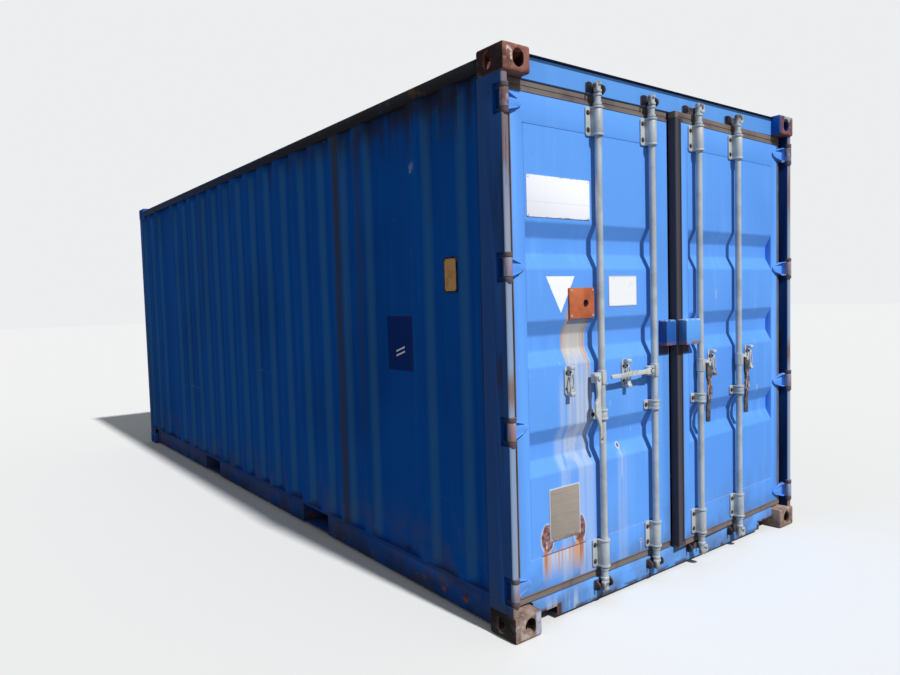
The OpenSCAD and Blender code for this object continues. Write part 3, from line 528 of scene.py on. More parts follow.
def zinc_look(name, base=(190, 197, 201), second=(166, 175, 181), stain=0.72):
    look = Look(name, base, 0.5, 0.15, gloss=0.35)
    look.over(look.blotch(11, 0.4, 0.7, detail=5.0), second)
    look.over(look.blotch(60, 0.5, 0.7, detail=5.0) * 0.3, (206, 210, 214))
    look.over(look.runs(35, 0.5, 0.7, seed=3, tall=2.0) * 0.3, (142, 140, 138))
    ends = look.z.rise(0.125, 0.08) | look.z.rise(2.475, 2.51)
    dark = look.blotch(30, 0.44, 0.56, seed=7)
    look.over(ends * dark * 0.75, (92, 78, 72), rough=0.9, metal=0.0)
    stains = look.blotch(19, stain, stain + 0.05, detail=7.0, seed=1)
    look.over(stains, (122, 92, 82), rough=0.85, metal=0.0)
    look.grain(120, 4.0, 0.0004)
    return look.done()


def dark_handle_look():
    """Darker zinc, with a pale and rusty middle and a painted highlight along the top."""
    look = Look("galvanised_dark", (104, 104, 98), 0.6, 0.1, gloss=0.3)
    look.over(look.blotch(20, 0.38, 0.62), (66, 64, 62))
    middle = look.z.within(0.925, 1.045, 0.02) * look.blotch(26, 0.36, 0.5, detail=5.0, seed=3)
    look.over(middle, (200, 178, 176))
    strands = look.blotch(1.0, 0.44, 0.5, stretch=(130, 60, 26), detail=3.0, seed=5)
    look.over(strands * look.z.within(0.9, 1.07, 0.03) * 0.9, (66, 56, 58))
    # Painted highlight: the top of the handle is near white
    look.over(look.z.rise(1.126, 1.131) * 0.8, (206, 206, 202))
    look.over(look.blotch(34, 0.6, 0.66, seed=8) * 0.8, (110, 78, 72), rough=0.9)
    look.grain(120, 4.0, 0.0005)
    return look.done()


def plain_look(name, base, second, rough, metal=0.0, scale=20, grain=0.0005):
    """A small part's finish: two tones, dust and a fine grain."""
    look = Look(name, base, rough, metal, gloss=0.3)
    look.over(look.blotch(scale, 0.4, 0.66), second)
    look.over(look.blotch(scale * 4, 0.55, 0.7, detail=5.0) * 0.35, GRIME)
    look.grain(scale * 6, 5.0, grain)
    return look.done()


def rubber_look():
    look = Look("seal_rubber", (122, 112, 108), 0.85)
    look.over(look.blotch(6, 0.4, 0.7, detail=5.0), (98, 90, 90))
    dusty = look.z.within(0.12, 0.17) | look.z.within(2.42, 2.47)
    look.over(dusty * look.blotch(18, 0.35, 0.65, seed=3) * 0.6, (128, 114, 108))
    # The meeting strip between the leaves is darker: darker rubber and painted shade
    look.over(look.x.within(-0.02, 0.07, 0.004) * look.z.within(0.136, 2.44), (76, 73, 80))
    look.grain(150, 4.0, 0.0005)
    return look.done()


def sign_look():
    look = Look("sign_white", (238, 240, 248), 0.45)
    look.over(look.z.within(1.9435, 1.9455, 0.0008) * 0.35, (170, 165, 160))
    edge = look.z.rise(1.882, 1.877) | look.z.rise(2.055, 2.061)
    look.over(edge * look.blotch(25, 0.45, 0.6, detail=5.0), (150, 140, 126))
    look.over(look.runs(30, 0.55, 0.8, tall=1.0) * 0.18, (190, 186, 176))
    look.grain(3, 2.0, 0.003)
    return look.done()


def sticker_look():
    look = Look("sticker", (236, 238, 242), 0.4)
    across = look.x.within(LABEL_X[0] + LABEL_RIM, LABEL_X[1] - LABEL_RIM, 0.0008)
    up = look.z.within(LABEL_Z[0] + LABEL_RIM, LABEL_Z[1] - LABEL_RIM, 0.0008)
    look.over(~(across * up), (205, 208, 214))
    look.over(look.blotch(22, 0.55, 0.75, detail=5.0) * 0.3, (176, 170, 160))
    look.grain(6, 2.0, 0.001)
    return look.done()


def data_look():
    """A brushed plate without words."""
    look = Look("data_metal", (176, 165, 156), 0.5, 0.3, gloss=0.3)
    brush = look.noise(1.0, detail=5.0, stretch=(6, 6, 420))
    look.over(brush.rise(0.35, 0.7) * 0.5, (140, 128, 120))
    look.over(look.blotch(9, 0.5, 0.75, detail=5.0) * 0.5, (182, 168, 150))
    low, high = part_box("data_plate")
    inside = look.x.within(low.x + 0.005, high.x - 0.005, 0.001) * look.z.rise(0.6205, 0.6195)
    look.over(~inside, (206, 214, 226))
    foot = look.z.rise(0.4, 0.375) * look.blotch(30, 0.45, 0.6)
    look.over(foot * 0.6, look.rust(), rough=0.9, metal=0.0)
    look.bump(brush, 0.0004)
    return look.done()


def rusty_plate_look():
    look = Look("rusty_plate", (190, 106, 70), 0.9, gloss=0.15)
    look.over(look.blotch(14, 0.42, 0.7), (168, 90, 60))
    look.over(look.blotch(40, 0.56, 0.72, seed=4) * 0.5, (208, 130, 94))
    look.grain(70, 6.0, 0.0008)
    return look.done()


def orange_look():
    look = Look("orange_plate", (212, 160, 104), 0.6)
    low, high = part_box("side_plate")
    rim = 0.007
    inside = look.y.within(low.y + rim, high.y - rim, 0.001)
    look.over(~(inside * look.z.within(low.z + rim, high.z - rim, 0.001)), (30, 30, 34))
    look.over(look.blotch(30, 0.5, 0.7) * 0.6, (158, 112, 72))
    look.grain(60, 3.0, 0.0004)
    return look.done()


def wood_look():
    """Plywood sheets across the floor, with seams, screws, and wheel marks."""
    look = Look("plywood", (142, 104, 66), 0.7)
    look.over(look.blotch(1.0, 0.35, 0.7, stretch=(1.2, 30, 30)), (108, 76, 48))
    look.over(look.blotch(2.2, 0.45, 0.7) * 0.7, (86, 66, 50))
    look.over(look.y.zigzag(0.61).rise(0.004, 0.002), (40, 32, 26))
    look.over(look.x.within(-0.003, 0.003, 0.001), (40, 32, 26))
    a, b = look.x.zigzag(0.15) - 0.075, look.y.zigzag(0.145) - 0.0725
    look.over((a * a + b * b).root().rise(0.007, 0.005), (70, 66, 62), rough=0.5)
    look.bump(look.noise(1.0, stretch=(3, 90, 90), detail=5.0), 0.0008)
    return look.done()


def piece(name, bm, look, body, stands_for=(), sharp=35):
    """Makes an object of a mesh, gives it its look and lets it ride on a body."""
    bmesh.ops.recalc_face_normals(bm, faces=bm.faces)
    for face in bm.faces:
        face.smooth = True
    for edge in bm.edges:
        edge.smooth = len(edge.link_faces) == 2 and edge.calc_face_angle(0) < math.radians(sharp)
    mesh = bpy.data.meshes.new(name)
    bm.to_mesh(mesh)
    bm.free()
    mesh.materials.append(look.material)
    made = bpy.data.objects.new(name, mesh)
    bpy.context.scene.collection.objects.link(made)
    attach(made, body)
    if stands_for:
        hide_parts(*stands_for)


def merged(parts, matrix=None):
    """One mesh of several. The parts are used up."""
    whole = bmesh.new()
    for part in parts:
        step = bpy.data.meshes.new("step")
        part.to_mesh(step)
        part.free()
        whole.from_mesh(step)
        bpy.data.meshes.remove(step)
    if matrix is not None:
        bmesh.ops.transform(whole, matrix=matrix, verts=whole.verts)
    return whole


def leaf_piece(name, parts, look, side, slot, *nodes, sharp=35):
    """A piece that is made in a leaf's own place and rides on that leaf."""
    piece(name, merged(parts, LEAF[side]), look, "door_" + side, nodes, sharp)


def bevelled(bm, width, shortest=0.0, segments=2, least=30):
    edges = [e for e in bm.edges
             if len(e.link_faces) == 2 and e.calc_length() > shortest
             and e.calc_face_angle(0) > math.radians(least)]
    bmesh.ops.bevel(bm, geom=edges, offset=width, segments=segments, profile=0.5,
                    affect="EDGES", clamp_overlap=True)
    return bm


def circle(radius, count, centre=(0.0, 0.0)):
    """Outline of a circle."""
    return [(centre[0] + radius * math.cos(math.tau * i / count),
             centre[1] + radius * math.sin(math.tau * i / count)) for i in range(count)]


def rounded_box(a0, a1, b0, b1, radius, steps=5):
    """Outline of a rectangle with round corners."""
    points = []
    for a, b, start in ((a1, b1, 0), (a0, b1, 90), (a0, b0, 180), (a1, b0, 270)):
        centre_a = a - radius if a == a1 else a + radius
        centre_b = b - radius if b == b1 else b + radius
        for i in range(steps + 1):
            t = math.radians(start + 90 * i / steps)
            points.append((centre_a + radius * math.cos(t), centre_b + radius * math.sin(t)))
    return points


def ring(bm, outline, at, axis):
    """Corners of a flat outline at one place along an axis."""
    corners = []
    for a, b in outline:
        point = [a, b]
        point.insert(axis, at)
        corners.append(bm.verts.new(point))
    return corners


def lofted(bm, rings, closed=False):
    """Walls from ring to ring, with caps, or with walls back to the first ring."""
    if closed:
        rings = rings + rings[:1]
    else:
        bm.faces.new(rings[0])
        bm.faces.new(rings[-1])
    for one, two in zip(rings, rings[1:]):
        for i in range(len(one)):
            j = (i + 1) % len(one)
            bm.faces.new((one[i], one[j], two[j], two[i]))
    bmesh.ops.recalc_face_normals(bm, faces=bm.faces)
    return bm


def prism(outline, low, high, axis=Z, bevel=0.0, segments=2):
    """A solid with a flat outline, pushed along one axis."""
    bm = bmesh.new()
    lofted(bm, [ring(bm, outline, at, axis) for at in (low, high)])
    return bevelled(bm, bevel, segments=segments) if bevel else bm


def slab(a0, a1, b0, b1, radius, low, high, axis=Y, bevel=0.0015):
    """A plate with round corners."""
    return prism(rounded_box(a0, a1, b0, b1, radius), low, high, axis, bevel)


def lathe(profile, centre, axis=Z, count=32):
    """A turned solid: profile is (place along the axis, radius)."""
    bm = bmesh.new()
    return lofted(bm, [ring(bm, circle(r, count, centre), at, axis) for at, r in profile])


def sleeve(outline, bore, low, high, bevel, centre=(0.0, 0.0), axis=Z):
    """A solid with a round hole. The outline has a point for each point of the hole."""
    bm = bmesh.new()
    hole = circle(bore, len(outline), centre)
    lofted(bm, [ring(bm, points, at, axis) for points, at in
                ((outline, low), (hole, low), (hole, high), (outline, high))], closed=True)
    return bevelled(bm, bevel, least=60)


def tube_ring(bm, middle, radius, across, up, sides):
    """Corners of a round section between two directions."""
    return [bm.verts.new(Vector(middle) + radius * (across * math.cos(t) + up * math.sin(t)))
            for t in (math.tau * k / sides for k in range(sides))]


def skin(node, look, slot, *bevels, body="container_body"):
    """A CAD node with the same faces and softened edges."""
    bm = bmesh.new()
    bm.from_mesh(NODES[node].data)
    bmesh.ops.remove_doubles(bm, verts=bm.verts, dist=1e-5)
    bmesh.ops.dissolve_limit(bm, angle_limit=math.radians(0.5), verts=bm.verts[:], edges=bm.edges[:])
    for width, shortest in bevels:
        bevelled(bm, width, shortest)
    piece(node + ".skin", bm, look, body, (node,))


def softened(points, radius, steps=3):
    """A folded line with its corners rounded."""
    result = [points[0]]
    for before, corner, after in zip(points, points[1:], points[2:]):
        a, b, c = Vector(before), Vector(corner), Vector(after)
        reach = min(radius, 0.4 * (a - b).length, 0.4 * (c - b).length)
        start, end = b + (a - b).normalized() * reach, b + (c - b).normalized() * reach
        for i in range(steps + 1):
            t = i / steps
            result.append(tuple(start * (1 - t) ** 2 + b * 2 * t * (1 - t) + end * t * t))
    return result + [points[-1]]


def across_folds(points, along, across, run, start, radius):
    """The folded line of a sheet, with rounded corners, and its thickness."""
    sides = {}
    for p in points:
        if p[run] < start + 1e-4:
            sides.setdefault(round(p[along], 4), set()).add(p[across])
    line = softened([(u, min(v)) for u, v in sorted(sides.items())], radius)
    return line, max(max(v) - min(v) for v in sides.values())


def sheet_faces(bm, grid, cells):
    """Both faces of a sheet, and its edges wherever a cell has no neighbour."""
    for i, j in cells:
        for side in (0, 1):
            bm.faces.new([grid[a, b, side] for a, b in
                          ((i, j), (i + 1, j), (i + 1, j + 1), (i, j + 1))])
        for (di, dj), (a, b) in (((0, -1), ((0, 0), (1, 0))), ((0, 1), ((0, 1), (1, 1))),
                                 ((-1, 0), ((0, 0), (0, 1))), ((1, 0), ((1, 0), (1, 1)))):
            if (i + di, j + dj) not in cells:
                p, q = (i + a[0], j + a[1]), (i + b[0], j + b[1])
                bm.faces.new((grid[*p, 0], grid[*q, 0], grid[*q, 1], grid[*p, 1]))
    loose = [v for v in bm.verts if not v.link_faces]
    bmesh.ops.delete(bm, geom=loose, context="VERTS")


def folded_sheet(node, look, along, across, run, inward, dent=0.003, rows=22,
                 radius=0.012, body="container_body", place=Matrix(), notch=None, margin=0.0):
    """A folded sheet read from its CAD node, with rounded folds and shallow dents.

    The folds die out within the margin at both ends of the run.
    """
    back = place.inverted()
    points = [back @ v.co for v in NODES[node].data.vertices]
    start, end = min(p[run] for p in points), max(p[run] for p in points)
    line, thick = across_folds(points, along, across, run, start, radius)
    marks = [start + (end - start) * i / rows for i in range(rows + 1)]
    if notch:
        i = next(i for i, p in enumerate(line) if p[0] > notch[0])
        (u0, v0), (u1, v1) = line[i - 1], line[i]
        line.insert(i, (notch[0], v0 + (v1 - v0) * (notch[0] - u0) / (u1 - u0)))
        marks.append(notch[1])
    steps = [margin * k / 4 for k in range(1, 5)] if margin else []
    marks = sorted(marks + [start + k for k in steps] + [end - k for k in steps])
    flat = min(v for _, v in line)
    bm = bmesh.new()
    grid = {}
    for j, w in enumerate(marks):
        reach = min(1.0, (w - start) / margin, (end - w) / margin) if margin else 1.0
        height = reach * reach * (3 - 2 * reach)
        for i, (u, v) in enumerate(line):
            calm = min(1.0, 6 * (w - start) / (end - start), 6 * (end - w) / (end - start),
                       3 * (u - line[0][0]), 3 * (line[-1][0] - u))
            push = max(0.0, noise.noise(Vector((u * 1.9, w * 1.6, v + 7.3)))) * dent * calm * 2
            for side in (0, 1):
                point = [0.0, 0.0, 0.0]
                point[along], point[run] = u, w
                point[across] = flat + (v - flat) * height + side * thick + inward * push
                grid[i, j, side] = bm.verts.new(place @ Vector(point))
    sheet_faces(bm, grid, {
        (i, j) for i in range(len(line) - 1) for j in range(len(marks) - 1)
        if not (notch and line[i][0] >= notch[0] - 1e-6 and marks[j] >= notch[1] - 1e-6)
    })
    piece(node + ".skin", bm, look, body, (node,), sharp=50)


def wire(path, radius, sides=10):
    """A closed loop of round wire along a path in a plane across Y."""
    bm = bmesh.new()
    rings = []
    for i, p in enumerate(path):
        ahead = Vector(path[(i + 1) % len(path)]) - Vector(path[i - 1])
        out = ahead.normalized().cross(Vector((0, 1, 0)))
        rings.append(tube_ring(bm, p, radius, out, Vector((0, 1, 0)), sides))
    return lofted(bm, rings, closed=True)


def bead(points, radius, sides=6):
    """A weld seam along level points."""
    bm = bmesh.new()
    rings = []
    for i, p in enumerate(points):
        ahead = Vector(points[min(i + 1, len(points) - 1)]) - Vector(points[max(i - 1, 0)])
        normal = ahead.normalized().cross(Vector((0, 0, 1)))
        thick = radius * (0.85 + 0.3 * abs(noise.noise(Vector(p) * 23)))
        rings.append(tube_ring(bm, p, thick, normal, Vector((0, 0, 1)), sides))
    return lofted(bm, rings)


def bolt(a, b, face, radius=0.008, tall=0.006):
    """A washer and a six-sided head on a face that looks to the front."""
    washer = [(face, radius * 1.5), (face - 0.0015, radius * 1.5), (face - 0.002, radius * 1.35)]
    head = [(face - 0.002, radius), (face - tall + 0.0015, radius), (face - tall, radius * 0.8)]
    return [lathe(washer, (a, b), Y, 20), lathe(head, (a, b), Y, 6)]


def collar(z, tall=0.014, radius=0.021):
    """Points of a turned profile for a ring with soft edges around a bar."""
    soft = 0.002
    return [(z, BAR_R), (z, radius - soft), (z + soft, radius),
            (z + tall - soft, radius), (z + tall, radius - soft), (z + tall, BAR_R)]


def make_bar(number, look):
    side, x = BARS[number]
    low, high = BAR_END, HEIGHT - BAR_END
    beside_cam = CAM_END + CAM_Z + 0.002
    boss = 0.035
    profile = [(low, BAR_R - 0.003), (low + 0.003, BAR_R)]
    profile += collar(low + beside_cam)
    profile += collar(HOUSINGS[0][0] - 0.018)
    profile += collar(HANDLE_Z - boss, 2 * boss)
    profile += collar(HOUSINGS[2][0] + 0.141)
    profile += collar(high - beside_cam - 0.014)
    profile += [(high - 0.003, BAR_R), (high, BAR_R - 0.003)]
    parts = [lathe(profile, (x, BAR_Y), Z, 40)]
    fingers = [(0.008, 0.0), (-0.021, 0.0), (-0.029, 0.008), (-0.029, 0.04), (-0.021, 0.048),
               (0.008, 0.048), (0.008, 0.035), (-0.011, 0.034), (-0.018, 0.029),
               (-0.018, 0.019), (-0.011, 0.014), (0.008, 0.013)]
    for z in (low + CAM_END, high - CAM_END - CAM_Z):
        outline = [(x + a, z + b) for a, b in fingers]
        parts.append(prism(outline, BAR_Y - 0.022, BAR_Y, Y, bevel=0.002))
    # Bracket with the handle's pin
    parts.append(slab(x - PIVOT - 0.016, x, HANDLE_Z - 0.025, HANDLE_Z + 0.025, 0.01,
                      BAR_Y - 0.013, BAR_Y + 0.014, bevel=0.0025))
    parts.append(slab(x - 0.017, x + 0.012, HANDLE_Z - 0.03, HANDLE_Z + 0.03, 0.006,
                      BAR_Y - 0.0205, BAR_Y - 0.012, bevel=0.002))
    head = HANDLE_Y[0] - 0.001
    pin = [(head + 0.016, 0.006), (head, 0.006), (head, 0.011), (head - 0.001, 0.012),
           (head - 0.003, 0.0115), (head - 0.005, 0.008)]
    parts.append(lathe(pin, (x - PIVOT, HANDLE_Z), Y, 24))
    name = "lock_bar_%d" % number
    piece("bar_%d" % number, merged(parts, LEAF[side]), look, name, (name,), 40)


def make_handle(number, look):
    """A flat bar with a fork at the pin, a wider hasp and a narrow, cranked grip."""
    side, x = BARS[number]
    end = 0.318
    if number > 2:
        outline = [(0.014, 0.02), (0.008, 0.027), (-0.075, 0.025), (-0.1, 0.016),
                   (-0.114, 0.029), (-0.172, 0.029), (-0.2, 0.012), (-0.235, 0.008),
                   (-end, 0.008), (-end, -0.019), (-end + 0.005, -0.024), (-0.235, -0.024),
                   (-0.206, -0.013), (-0.098, -0.012), (-0.07, -0.021), (0.01, -0.021),
                   (0.014, -0.017)]
    else:
        # The grip is cranked towards the bar when it hangs, and the level one looks straight
        crank, hasp = (0.014, 0.026) if number == 1 else (0.003, 0.012)
        outline = [(0.012, 0.016), (-0.03, 0.016), (-0.06, 0.011), (-0.095, 0.011),
                   (-0.12, hasp), (-0.168, hasp), (-0.2, 0.01), (-0.235, 0.01 - crank),
                   (-end + 0.006, 0.01 - crank), (-end, 0.005 - crank), (-end, -0.005 - crank),
                   (-end + 0.006, -0.01 - crank), (-0.235, -0.011 - crank), (-0.206, -0.013),
                   (-0.095, -0.012), (-0.06, -0.011), (-0.03, -0.016), (0.012, -0.016)]
    front, rear = HANDLE_Y
    parts = [prism(outline, front, rear, Y, bevel=0.002, segments=3),
             sleeve(circle(0.016, 40), 0.0064, front, rear, 0.0015, axis=Y)]
    # Padlock eyes in the hasp
    for eye in ((-0.128, 0.006), (-0.158, 0.006)):
        rim = circle(0.009, 32, eye)
        parts.append(sleeve(rim, 0.005, front - 0.0015, rear, 0.001, eye, Y))
        parts.append(lathe([(front - 0.0002, 0.005), (front + 0.001, 0.005)], eye, Y, 16))
    turn = Matrix.Rotation(math.radians(0 if number == 2 else -90), 4, "Y")
    move = Matrix.Translation((x - PIVOT, 0, HANDLE_Z))
    name = "handle_%d" % number
    piece("handle_bar_%d" % number, merged(parts, LEAF[side] @ move @ turn), look, name,
          (name,), 40)


def housing_outline(radius, x, count=48):
    """Round to the front, straight sides to the leaf behind."""
    reach = LEAF_FACE - BAR_Y
    points = []
    for a, b in circle(1.0, count):
        scale = radius if b <= 0 else min(radius / max(abs(a), 1e-6), reach / max(b, 1e-6))
        points.append((x + a * scale, BAR_Y + b * scale))
    return points


def make_housings(side, look, dark):
    parts, bolts = [], []
    rim = 0.01
    for x in BAR_PLACES:
        for z, tall in HOUSINGS:
            for low, high, radius in ((0, rim, 0.028), (rim, tall - rim, 0.0245),
                                      (tall - rim, tall, 0.028)):
                parts.append(sleeve(housing_outline(radius, x), BAR_R + 0.0006, z + low, z + high,
                                    0.0015, (x, BAR_Y)))
            parts.append(slab(x - 0.058, x + 0.058, z, z + tall, 0.012, PLATE_Y, LEAF_FACE))
            rows = (z + 0.028, z + tall - 0.028) if tall > 0.1 else (z + tall / 2,)
            for s in (-1, 1):
                for row in rows:
                    bolts += bolt(x + s * 0.043, row, PLATE_Y)
    leaf_piece("housings." + side, parts, look, side, "galvanised", "housings_" + side, sharp=40)
    leaf_piece("housing_bolts." + side, bolts, dark, side, "galvanised")


def make_catches(side, look, dark):
    """Oval plates with two ears and a hinged link that hangs over the handle's seat."""
    from_bar = 0.206 if side == "left" else 0.145
    half = 0.0725
    low, high = HANDLE_Z - half, HANDLE_Z + half
    front = 0.002
    parts, bolts = [], []
    for bar in BAR_PLACES:
        x = bar - from_bar
        parts.append(slab(x - 0.026, x + 0.026, low, high, 0.024, PLATE_Y, LEAF_FACE))
        for z in (low, high - 0.02):
            parts.append(slab(front, LEAF_FACE - 0.006, z, z + 0.02, 0.007,
                              x - 0.014, x + 0.014, X, 0.002))
        # The link: an oval ring of round wire, thickened below
        middle, reach = (low + high) / 2 - 0.012, 0.04
        parts.append(wire([(x + 0.013 * a, front + 0.01, middle + reach * b ** 3 + 0.01 * b)
                           for a, b in circle(1.0, 36)], 0.0042))
        parts.append(slab(x - 0.013, x + 0.013, middle - 0.05, middle - 0.024, 0.01,
                          front + 0.007, front + 0.013, bevel=0.001))
        parts.append(lathe([(x - 0.018, 0.005), (x + 0.018, 0.005)],
                           (front + 0.01, high - 0.01), X, 16))
        for z in (low + 0.036, high - 0.036):
            for s in (-1, 1):
                bolts += bolt(x + s * 0.017, z, PLATE_Y, 0.0045, 0.004)
    leaf_piece("catches." + side, parts, look, side, "galvanised", "catches_" + side, sharp=40)
    leaf_piece("catch_bolts." + side, bolts, dark, side, "galvanised")


def make_hinges(side, blade_paint, knuckle_paint):
    """Forged blades with ribs along both edges, and weathered knuckles."""
    blades, knuckles = [], []
    reach, half = 0.13, 0.04
    for z in HINGES:
        knuckles.append(sleeve(circle(0.019, 48), 0.0095, z - half, z + half, 0.0015))
        edge = [(0.004, half), (0.04, half), (reach - 0.034, 0.024), (reach - 0.012, 0.015),
                (reach, 0.005)]
        blade = [(a, z - b) for a, b in edge] + [(a, z + b) for a, b in reversed(edge)]
        blades.append(prism(blade, LEAF_FACE - 0.01, LEAF_FACE, Y, bevel=0.002))
        root = [(-0.008, 0.0185), (0.014, 0.0135), (0.022, PLATE_Y), (-0.008, PLATE_Y)]
        blades.append(prism(root, z - half + 0.002, z + half - 0.002, Z, bevel=0.0015))
        # Ribs: flat strips on edge that follow the blade's two long edges
        rear, wide = LEAF_FACE - 0.006, 0.005
        for s in (-1, 1):
            for ends in (((0.012, 0.012, half), (0.044, 0.016, half)),
                         ((0.04, 0.016, half - 0.001), (0.104, 0.029, 0.0215))):
                rib = bmesh.new()
                lofted(rib, [
                    [rib.verts.new((a, y, z + s * b)) for y, b in
                     ((front, up), (rear, up), (rear, up - wide), (front, up - wide))]
                    for a, front, up in ends])
                blades.append(bevelled(rib, 0.001))
    leaf_piece("hinge_blades." + side, blades, blade_paint, side, "door_paint",
               "hinge_blades_" + side, sharp=40)
    leaf_piece("hinge_knuckles." + side, knuckles, knuckle_paint, side, "door_paint", sharp=40)


def make_seal(side, look):
    """A rubber strip with ribs around the leaf."""
    # Across the strip, and depth. -1 is the edge of the lap on the leaf
    profile = [(0.0, 0.088), (0.0, 0.042), (-1, 0.042), (-1, 0.0385), (0.08, 0.0385), (0.12, 0.0445),
               (0.32, 0.0435), (0.37, 0.047), (0.42, 0.0435), (0.94, 0.0435), (1.0, 0.047),
               (1.0, 0.088)]
    out, down, free = 0.029, 0.036, 0.043
    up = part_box("door_header")[0].z - 0.001 - LEAF_HIGH
    if side == "left":
        corners = [(FREE_LEFT, LEAF_LOW, 0, -down), (LEAF_EDGE, LEAF_LOW, -out, -down),
                   (LEAF_EDGE, LEAF_HIGH, -out, up), (FREE_LEFT, LEAF_HIGH, 0, up)]
    else:
        corners = [(LEAF_EDGE, LEAF_LOW, -out, -down), (LEAF_EDGE, LEAF_HIGH, -out, up),
                   (FREE_RIGHT, LEAF_HIGH, free, up), (FREE_RIGHT, LEAF_LOW, free, -down)]
    bm = bmesh.new()
    rings = []
    for x, z, dx, dz in corners:
        lap_x = math.copysign(0.002, -dx) if dx else 0.0
        lap_z = -0.009 if dz > 0 else 0.002
        rings.append([
            bm.verts.new((x + lap_x, y, z + lap_z) if u < 0 else (x + dx * u, y, z + dz * u))
            for u, y in profile
        ])
    strip = lofted(bm, rings, closed=side == "right")
    leaf_piece("seal." + side, [strip], look, side, "seal_rubber", "seal_" + side)


def make_bolted_plate(look, dark, bolt_look):
    low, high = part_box("bolted_plate")
    centre, hole_r, count = (-0.672, 1.48), 0.018, 48
    outline = []
    for a, b in circle(1.0, count):
        reach = min(
            ((high.x if a > 0 else low.x) - centre[0]) / a if abs(a) > 1e-6 else 9,
            ((high.z if b > 0 else low.z) - centre[1]) / b if abs(b) > 1e-6 else 9,
        )
        outline.append((centre[0] + a * reach, centre[1] + b * reach))
    # The nearest points move into the corners, so the plate keeps its square shape
    for corner in ((low.x, low.z), (low.x, high.z), (high.x, low.z), (high.x, high.z)):
        nearest = min(range(count), key=lambda i: (Vector(outline[i]) - Vector(corner)).length)
        outline[nearest] = corner
    plate = sleeve(outline, hole_r, low.y, high.y, 0.0012, centre, Y)
    piece("bolted_plate.skin", plate, look, "door_left", ("bolted_plate",))
    shadow = [(high.y, hole_r + 0.001), (high.y - 0.001, hole_r + 0.001)]
    piece("bolted_plate.hole", lathe(shadow, centre, Y, 32), dark, "door_left")
    inset = 0.012
    corners = [bolt(x, z, low.y, 0.0035, 0.0025) for x in (low.x + inset, high.x - inset)
               for z in (low.z + inset, high.z - inset)]
    piece("bolted_plate.bolts", merged(sum(corners, [])), bolt_look, "door_left")


def make_plate(node, look, rivet_look, body, axis=Y, inset=0.01):
    """A thin plate with round corners and a rivet near each of them."""
    low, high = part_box(node)
    a, face = X if axis == Y else Y, low[axis]
    outline = rounded_box(low[a], high[a], low.z, high.z, 0.004, 3)
    plate = prism(outline, face, high[axis], axis, bevel=0.0006)
    piece(node + ".skin", plate, look, body, (node,))
    dome = [(face, 0.0035), (face - 0.001, 0.0033), (face - 0.002, 0.002)]
    rivets = [lathe(dome, (u, z), axis, 14) for u in (low[a] + inset, high[a] - inset)
              for z in (low.z + inset, high.z - inset)]
    piece(node + ".rivets", merged(rivets), rivet_look, body)


door = door_marks(painted("door_paint", *SUNNY, 0.75))
blade_paint = blade_look()
knuckle_paint = knuckle_look()
wall = wall_look()
front_frame = front_look()
# The side frame is a darker blue like the walls, as painted shade
side_frame = frame_look("side_frame", (16, 76, 156), SHADED_BASE, SHADED_DARK, 0.6).done()
rails = rail_look()
posts = post_look()
castings_low = casting_look("casting_low", (160, 138, 126), (108, 88, 80), (186, 172, 164))
castings_high = casting_look("casting_high", (142, 95, 84), (94, 62, 57), (172, 128, 114))
zinc = zinc_look("galvanised")
worn_zinc = zinc_look("galvanised_worn", (204, 206, 206), (178, 182, 184), 0.64)
dark_zinc = dark_handle_look()
keeper_steel = plain_look("keeper_steel", (90, 82, 86), (50, 44, 48), 0.8, scale=30)
lugs = lug_look()
pitch = plain_look("dark_hollow", (14, 14, 18), (24, 22, 24), 0.9)
rubber = rubber_look()
dark_steel = plain_look("dark_steel", (62, 52, 46), (92, 62, 46), 0.8, scale=60)
box_paint = {
    # The left lock box is painted a darker blue, as painted shade
    "left": box_look("box_shaded_paint_left", (36, 90, 168), (60, 118, 198), (22, 64, 134)),
    "right": box_look("box_paint_right", (96, 160, 236), *SUNNY[1:]),
}

# Each bevel is its width and the length of the shortest edge that gets it
for nodes, look, slot, *bevels in (
    ("door_header door_sill", front_frame, "frame_paint", (0.002, 0.0)),
    ("door_post_left door_post_right", posts, "frame_paint", (0.002, 0.02)),
    ("top_rail_left top_rail_right", rails, "frame_paint", (0.0012, 0.0)),
    ("front_header front_sill front_post_left front_post_right bottom_rail_left"
     " bottom_rail_right rail_webs_left rail_webs_right cross_members pocket_sides"
     " pocket_tops pocket_straps", side_frame, "frame_paint", (0.0012, 0.0)),
    ("castings_bottom", castings_low, "casting_steel", (0.012, 0.1), (0.0015, 0.0)),
    ("castings_top", castings_high, "casting_steel", (0.012, 0.1), (0.0015, 0.0)),
    ("hinge_lugs_left hinge_lugs_right", lugs, "galvanised", (0.0015, 0.0)),
    ("floor", wood_look(), "plywood", (0.001, 0.0)),
):
    for node in nodes.split():
        skin(node, look, slot, *bevels)

for name, inward in (("side_wall_left", 1), ("side_wall_right", -1)):
    folded_sheet(name, wall, Y, X, Z, inward, radius=0.028, notch=NOTCH)
folded_sheet("front_wall", wall, X, Y, Z, -1)
folded_sheet("roof", wall, Y, Z, X, -1, rows=10, radius=0.008, margin=0.09)
for side in ("left", "right"):
    folded_sheet("leaf_panel_" + side, door, Z, Y, X, 1, dent=0.0015, rows=14,
                 radius=0.008, body="door_" + side, place=LEAF[side])
    skin("leaf_frame_" + side, door, "door_paint", (0.0025, 0.0), body="door_" + side)
    skin("lock_box_" + side, box_paint[side], "door_paint", (0.0025, 0.0), body="door_" + side)
    make_housings(side, zinc, dark_steel)
    make_catches(side, worn_zinc, dark_steel)
    make_hinges(side, blade_paint, knuckle_paint)
    make_seal(side, rubber)
for number in BARS:
    make_bar(number, zinc)
    make_handle(number, worn_zinc if number < 3 else dark_zinc)

